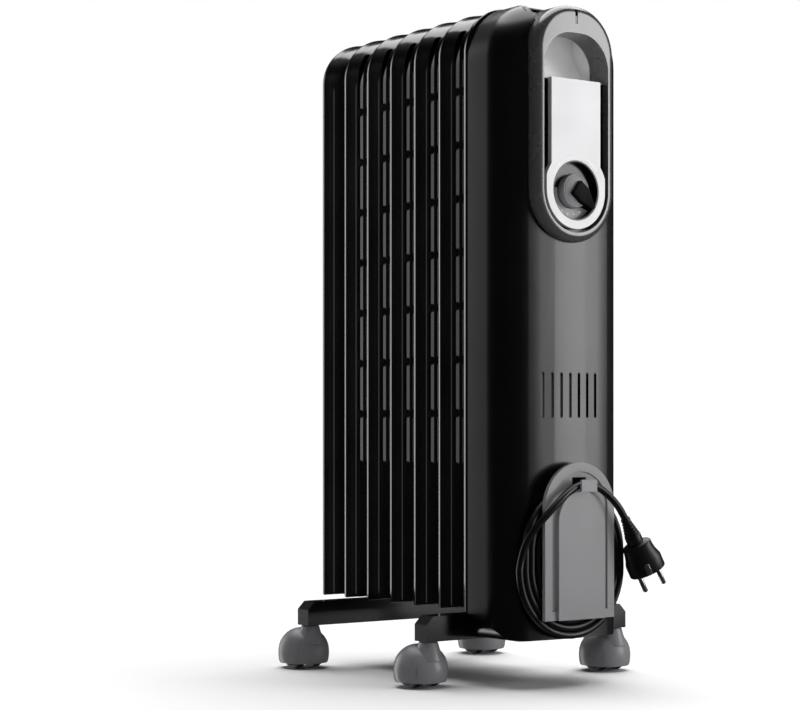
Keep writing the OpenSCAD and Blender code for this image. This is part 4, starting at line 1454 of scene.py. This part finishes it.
    def _liner(self) -> bpy.types.Object:
        """Pale scoop behind the arch: a quarter round that rises into an upright wall."""
        mesh = bmesh.new()
        half = self.opening_half - self.scoop_gap
        start_z = self.floor_top + self.scoop_gap
        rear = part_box("grip_liner")[1]
        depth = rear.y - self.panel_y - self.wall
        top = rear.z
        turns = [0.5 * math.pi * k / self.scoop_steps for k in range(self.scoop_steps + 1)]
        line = [(depth * math.sin(a), start_z + depth * (1 - math.cos(a))) for a in turns]
        line.append((depth, top))
        sides = []
        for x in (-half, half):
            sides.append([mesh.verts.new((x, self.panel_y + y, z)) for y, z in line])
        for k in range(len(line) - 1):
            mesh.faces.new((sides[0][k], sides[1][k], sides[1][k + 1], sides[0][k + 1]))
        front = self.arch_behind + self.cheek_gap
        first = next(k for k, (y, _) in enumerate(line) if y > front)
        for row, x in zip(sides, (-half, half)):
            corner_top = mesh.verts.new((x, self.panel_y + front, top))
            corner_low = mesh.verts.new((x, self.panel_y + front, line[first][1]))
            mesh.faces.new([*row[first:], corner_top, corner_low])
        obj = built_piece(mesh, "grip_scoop")
        wall = obj.modifiers.new("wall", "SOLIDIFY")
        wall.thickness = self.wall
        wall.offset = 0
        select_only(obj)
        bpy.ops.object.modifier_apply(modifier=wall.name)
        dress(obj, self.palette.get(PALE_POLYPROPYLENE))
        return finish_piece(obj, "grip_scoop", sharp=30.0)

    def _painted_shade(self) -> bpy.types.Object:
        """Black sector over the upper part of the ring in the dial's well: painted shade for the dark
        upper part of the well.
        """
        mesh = bmesh.new()
        floor = self._well_floor() - self.ring_rise
        radii = (self.hub_radius + self.painted_shade_gap, self.painted_shade_reach)
        self._sector(mesh, radii, self.painted_shade_angles, floor - self.painted_shade_thickness, floor)
        obj = built_piece(mesh, "well_painted_shade")
        # The black finish paints the shade in the upper part of the well
        dress(obj, self.palette.get(BLACK_ABS_AND_PAINTED_SHADE))
        return obj

    def _marks(self) -> bpy.types.Object:
        """Printed arc over the dial and the dots of its scale."""
        mesh = bmesh.new()
        front = self.panel_y - self.fascia_proud - self.print_height
        self._sector(mesh, self.arc_radii, self.arc_angles, front, front + 2 * self.print_height)
        floor = self._well_floor() - self.ring_rise
        for k in range(self.dot_count):
            angle = math.radians(self.dot_start + self.dot_step * k)
            across, up = self.dot_circle * math.cos(angle), self.dot_circle * math.sin(angle)
            centre = Vector((across, floor, self.dial_z + up))
            radius = self.dot_radius + self.dot_growth * k
            bmesh.ops.create_cone(
                mesh, cap_ends=True, segments=16, radius1=radius, radius2=radius,
                depth=2 * self.print_height,
                matrix=Matrix.Translation(centre) @ Matrix.Rotation(math.radians(90), 4, "X"),
            )
        obj = built_piece(mesh, "printed_marks")
        dress(obj, self.palette.get(WHITE_INK))
        return obj


# ---------------------------------------------------------------- housing and castors


@dataclass
class SmoothHousing:
    """The pressed front housing, as one smooth skin over its CAD shape."""

    palette: Palette
    crease: float = 24.0  # angle in degrees past which an edge stays sharp
    weld: float = 0.002 * MM  # corners nearer than this are one

    def build(self, nodes: dict[str, bpy.types.Object]) -> None:
        """Copies the CAD housing, closes its seams and smooths it.

        Args:
            nodes: CAD nodes by name.
        """
        source = nodes["front_housing"]
        data = source.data.copy()
        skin = bpy.data.objects.new("housing_skin", data)
        bpy.context.scene.collection.objects.link(skin)
        select_only(skin)
        bpy.ops.object.mode_set(mode="EDIT")
        bpy.ops.mesh.select_all(action="SELECT")
        bpy.ops.mesh.remove_doubles(threshold=self.weld)
        bpy.ops.object.mode_set(mode="OBJECT")
        if data.has_custom_normals:
            bpy.ops.mesh.customdata_custom_splitnormals_clear()
        bpy.ops.object.shade_smooth_by_angle(angle=math.radians(self.crease))
        dress(skin, self.palette.get(HOUSING_ENAMEL))
        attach(skin, "root")
        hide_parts("front_housing")
        LOG.info("housing skin: %d faces", len(data.polygons))


@dataclass
class TwinWheelCastors:
    """Grey hoods with a neck and a round seam over two treaded wheels."""

    palette: Palette
    count: int = 4
    trail: float = 12 * MM
    hood_radius: float = 26 * MM
    wheel_radius: float = 18 * MM
    wheel_width: float = 8 * MM
    wheel_x: float = 10.5 * MM
    axle_radius: float = 2 * MM
    neck_top: float = 44.1 * MM
    neck_low: float = 26 * MM
    neck_wide: float = 14 * MM
    neck_slim: float = 9 * MM
    bay_gap: float = 1 * MM
    bay_side_gap: float = 0.8 * MM
    seam_radius: float = 18.5 * MM
    seam_half: float = 0.45 * MM
    stem_radius: float = 4 * MM
    stem_length: float = 14 * MM
    stem_rise: float = 6 * MM
    face_rim: float = 3.5 * MM  # width of a wheel's tread, seen from the side
    face_step: float = 1 * MM
    # Lathed hood: height above the floor and radius, in mm
    profile: tuple[tuple[float, float], ...] = (
        (5.5, 23.0), (5.7, 24.2), (8.0, 25.2), (13.0, 25.9), (18.0, 26.0), (23.0, 25.4), (28.0, 23.7),
        (32.5, 20.8), (36.0, 17.4), (38.6, 13.6), (40.4, 9.0), (41.2, 4.0),
    )

    def build(self) -> None:
        """Makes each castor's hood and wheels in place of the CAD ones."""
        for index in range(1, self.count + 1):
            low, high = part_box(f"castor_axle_{index}")
            middle = (low + high) / 2
            hood = self._hood(index, middle)
            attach(hood, f"swivel_{index}")
            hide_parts(f"castor_{index}")
            for side, letter in ((-1, "a"), (1, "b")):
                wheel = self._wheel(index, side, letter, middle)
                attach(wheel, f"roller_{index}{letter}")
                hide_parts(f"wheel_{index}{letter}")
        LOG.info("castors: %d", self.count)

    def _hood(self, index: int, middle: Vector) -> bpy.types.Object:
        """Hood, neck and stem of one castor.

        Args:
            index: Number of the castor.
            middle: Middle of its axle.

        Returns:
            The hood as one piece.
        """
        start_z, start_r = self.profile[0]
        hood = add_primitive(
            "circle", "hood", vertices=72, radius=start_r * MM, fill_type="NGON",
            location=(middle.x, middle.y, start_z * MM),
        )
        bpy.ops.object.mode_set(mode="EDIT")
        bpy.ops.mesh.select_all(action="SELECT")
        z, radius = start_z * MM, start_r * MM
        for to_z, to_r in self.profile[1:]:
            bpy.ops.mesh.extrude_region_move(TRANSFORM_OT_translate={"value": (0, 0, to_z * MM - z)})
            z = to_z * MM
            factor = to_r * MM / radius
            bpy.ops.transform.resize(value=(factor, factor, 1), center_override=(middle.x, middle.y, z))
            radius = to_r * MM
        close_edit()
        neck = add_primitive(
            "cone", "neck", vertices=64, radius1=self.neck_wide, radius2=self.neck_slim,
            depth=self.neck_top - self.neck_low,
            location=(middle.x, middle.y - self.trail, (self.neck_top + self.neck_low) / 2),
        )
        neck = finish_piece(neck, "neck", bevel=1.2 * MM)
        carve(hood, neck, "UNION")
        for side in (-1, 1):
            bay = add_primitive(
                "cylinder", "bay", vertices=64, radius=self.wheel_radius + self.bay_gap,
                depth=self.wheel_width + 2 * self.bay_side_gap,
                location=(middle.x + side * self.wheel_x, middle.y, middle.z),
                rotation=(0, math.radians(90), 0),
            )
            carve(hood, bay)
            seam_x = middle.x + side * math.sqrt(self.hood_radius**2 - self.seam_radius**2)
            seam = add_primitive(
                "torus", "seam", major_radius=self.seam_radius, minor_radius=self.seam_half,
                major_segments=72, minor_segments=8, location=(seam_x, middle.y, middle.z),
                rotation=(0, math.radians(90), 0),
            )
            carve(hood, seam)
        stem = add_primitive(
            "cylinder", "stem", vertices=32, radius=self.stem_radius, depth=self.stem_length,
            location=(middle.x, middle.y - self.trail, self.neck_top + self.stem_rise),
        )
        dress(hood, self.palette.get(CASTOR_NYLON))
        stem = finish_piece(stem, "stem", bevel=0.5 * MM)
        dress(stem, self.palette.get(ZINC_STEEL))
        hood = join_pieces([hood, stem], f"castor_hood_{index}")
        return finish_piece(hood, f"castor_hood_{index}", sharp=38.0)

    def _wheel(self, index: int, side: int, letter: str, middle: Vector) -> bpy.types.Object:
        """One wheel with a rounded tread and a recessed face.

        Args:
            index: Number of the castor.
            side: Minus one for the left wheel and one for the right.
            letter: The wheel's letter.
            middle: Middle of the castor's axle.

        Returns:
            The wheel as one piece.
        """
        name = f"castor_wheel_{index}{letter}"
        wheel = add_primitive(
            "cylinder", name, vertices=64, radius=self.wheel_radius, depth=self.wheel_width,
            location=(0, 0, 0), rotation=(0, math.radians(90), 0),
        )
        bpy.ops.object.transform_apply(location=False, rotation=True, scale=True)
        bpy.ops.object.mode_set(mode="EDIT")
        pick(wheel, "FACE", lambda f: abs(f.normal.x) > 0.9)
        bpy.ops.mesh.inset(thickness=self.face_rim, depth=0)
        bpy.ops.mesh.inset(thickness=self.face_step, depth=-self.face_step)
        bpy.ops.object.mode_set(mode="OBJECT")
        bore = add_primitive(
            "cylinder", "bore", vertices=32, radius=self.axle_radius + 0.05 * MM,
            depth=3 * self.wheel_width, location=(0, 0, 0), rotation=(0, math.radians(90), 0),
        )
        carve(wheel, bore)
        dress(wheel, self.palette.get(WHEEL_NYLON))
        place = Matrix.Translation((middle.x + side * self.wheel_x, middle.y, middle.z))
        return finish_piece(wheel, name, place, bevel=0.9 * MM, sharp=40.0)


# ---------------------------------------------------------------- carried-over CAD nodes


@dataclass
class FrameDress:
    """Gives each CAD node its own finish."""

    palette: Palette
    finishes: dict[str, Finish] = field(
        default_factory=lambda: {
            "front_housing": HOUSING_ENAMEL,
            "heating_rod": ROD_SHEATH,
            "heater_flange": ZINC_STEEL,
            "heater_gasket": GASKET_RUBBER,
            "front_header_plug": ZINC_STEEL,
            "housing_screws": ZINC_STEEL,
            "mounting_bracket": FIN_ENAMEL,
            "terminal_block": STEATITE,
            "thermal_cutout": PHENOLIC,
            "thermostat": PHENOLIC,
            "thermostat_shaft": TURNED_BRASS,
            "control_frame": SILVER_LACQUER,
            "grip_liner": PALE_POLYPROPYLENE,
            "fascia": FASCIA_LACQUER,
            "dial_ring": LIGHT_ABS,
            "dial_well": BLACK_ABS_AND_PAINTED_SHADE,
            "pilot_lens": LENS_RED,
            "pilot_lamp": LAMP_GLASS,
            "knob": LIGHT_ABS,
            "cord_hub": BLACK_ABS_AND_PAINTED_SHADE,
            "cord_plate": GREY_ABS,
            "cord_gland": CORD_PVC,
            "cord_coil": CORD_PVC,
            "cord_tail": CORD_PVC,
            "plug": CORD_PVC,
            "plug_pins": NICKEL_PLATE,
            "foot_clamps": ZINC_STEEL,
            "wing_nuts": ZINC_STEEL,
        }
    )

    def build(self, nodes: dict[str, bpy.types.Object]) -> None:
        """Dresses every node.

        Args:
            nodes: CAD nodes by name.
        """
        for name, obj in nodes.items():
            dress(obj, self.palette.get(self._finish(name)))
        LOG.info("dressed %d CAD nodes", len(nodes))

    def _finish(self, name: str) -> Finish:
        """Finish of a node, by its own name or by its family's."""
        if name in self.finishes:
            return self.finishes[name]
        if name.startswith("castor_axle"):
            return ZINC_STEEL
        if name.startswith("castor"):
            return CASTOR_NYLON
        if name.startswith("wheel"):
            return WHEEL_NYLON
        return FIN_ENAMEL


# ---------------------------------------------------------------- assembly


def main() -> None:
    """Builds the studio, the cord and the other pieces round the CAD frame."""
    logging.basicConfig(level=logging.INFO, format="%(name)s: %(message)s", force=True)
    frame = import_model()
    palette = Palette()
    nodes = frame["nodes"]
    Studio(palette).build()
    MainsLead(palette, PANEL_Y).build()
    FrameDress(palette).build(nodes)
    OilElements(palette, PANEL_Y).build()
    ControlUnit(palette, PANEL_Y).build()
    SmoothHousing(palette).build(nodes)
    TwinWheelCastors(palette).build()


if __name__ == "__main__":
    main()
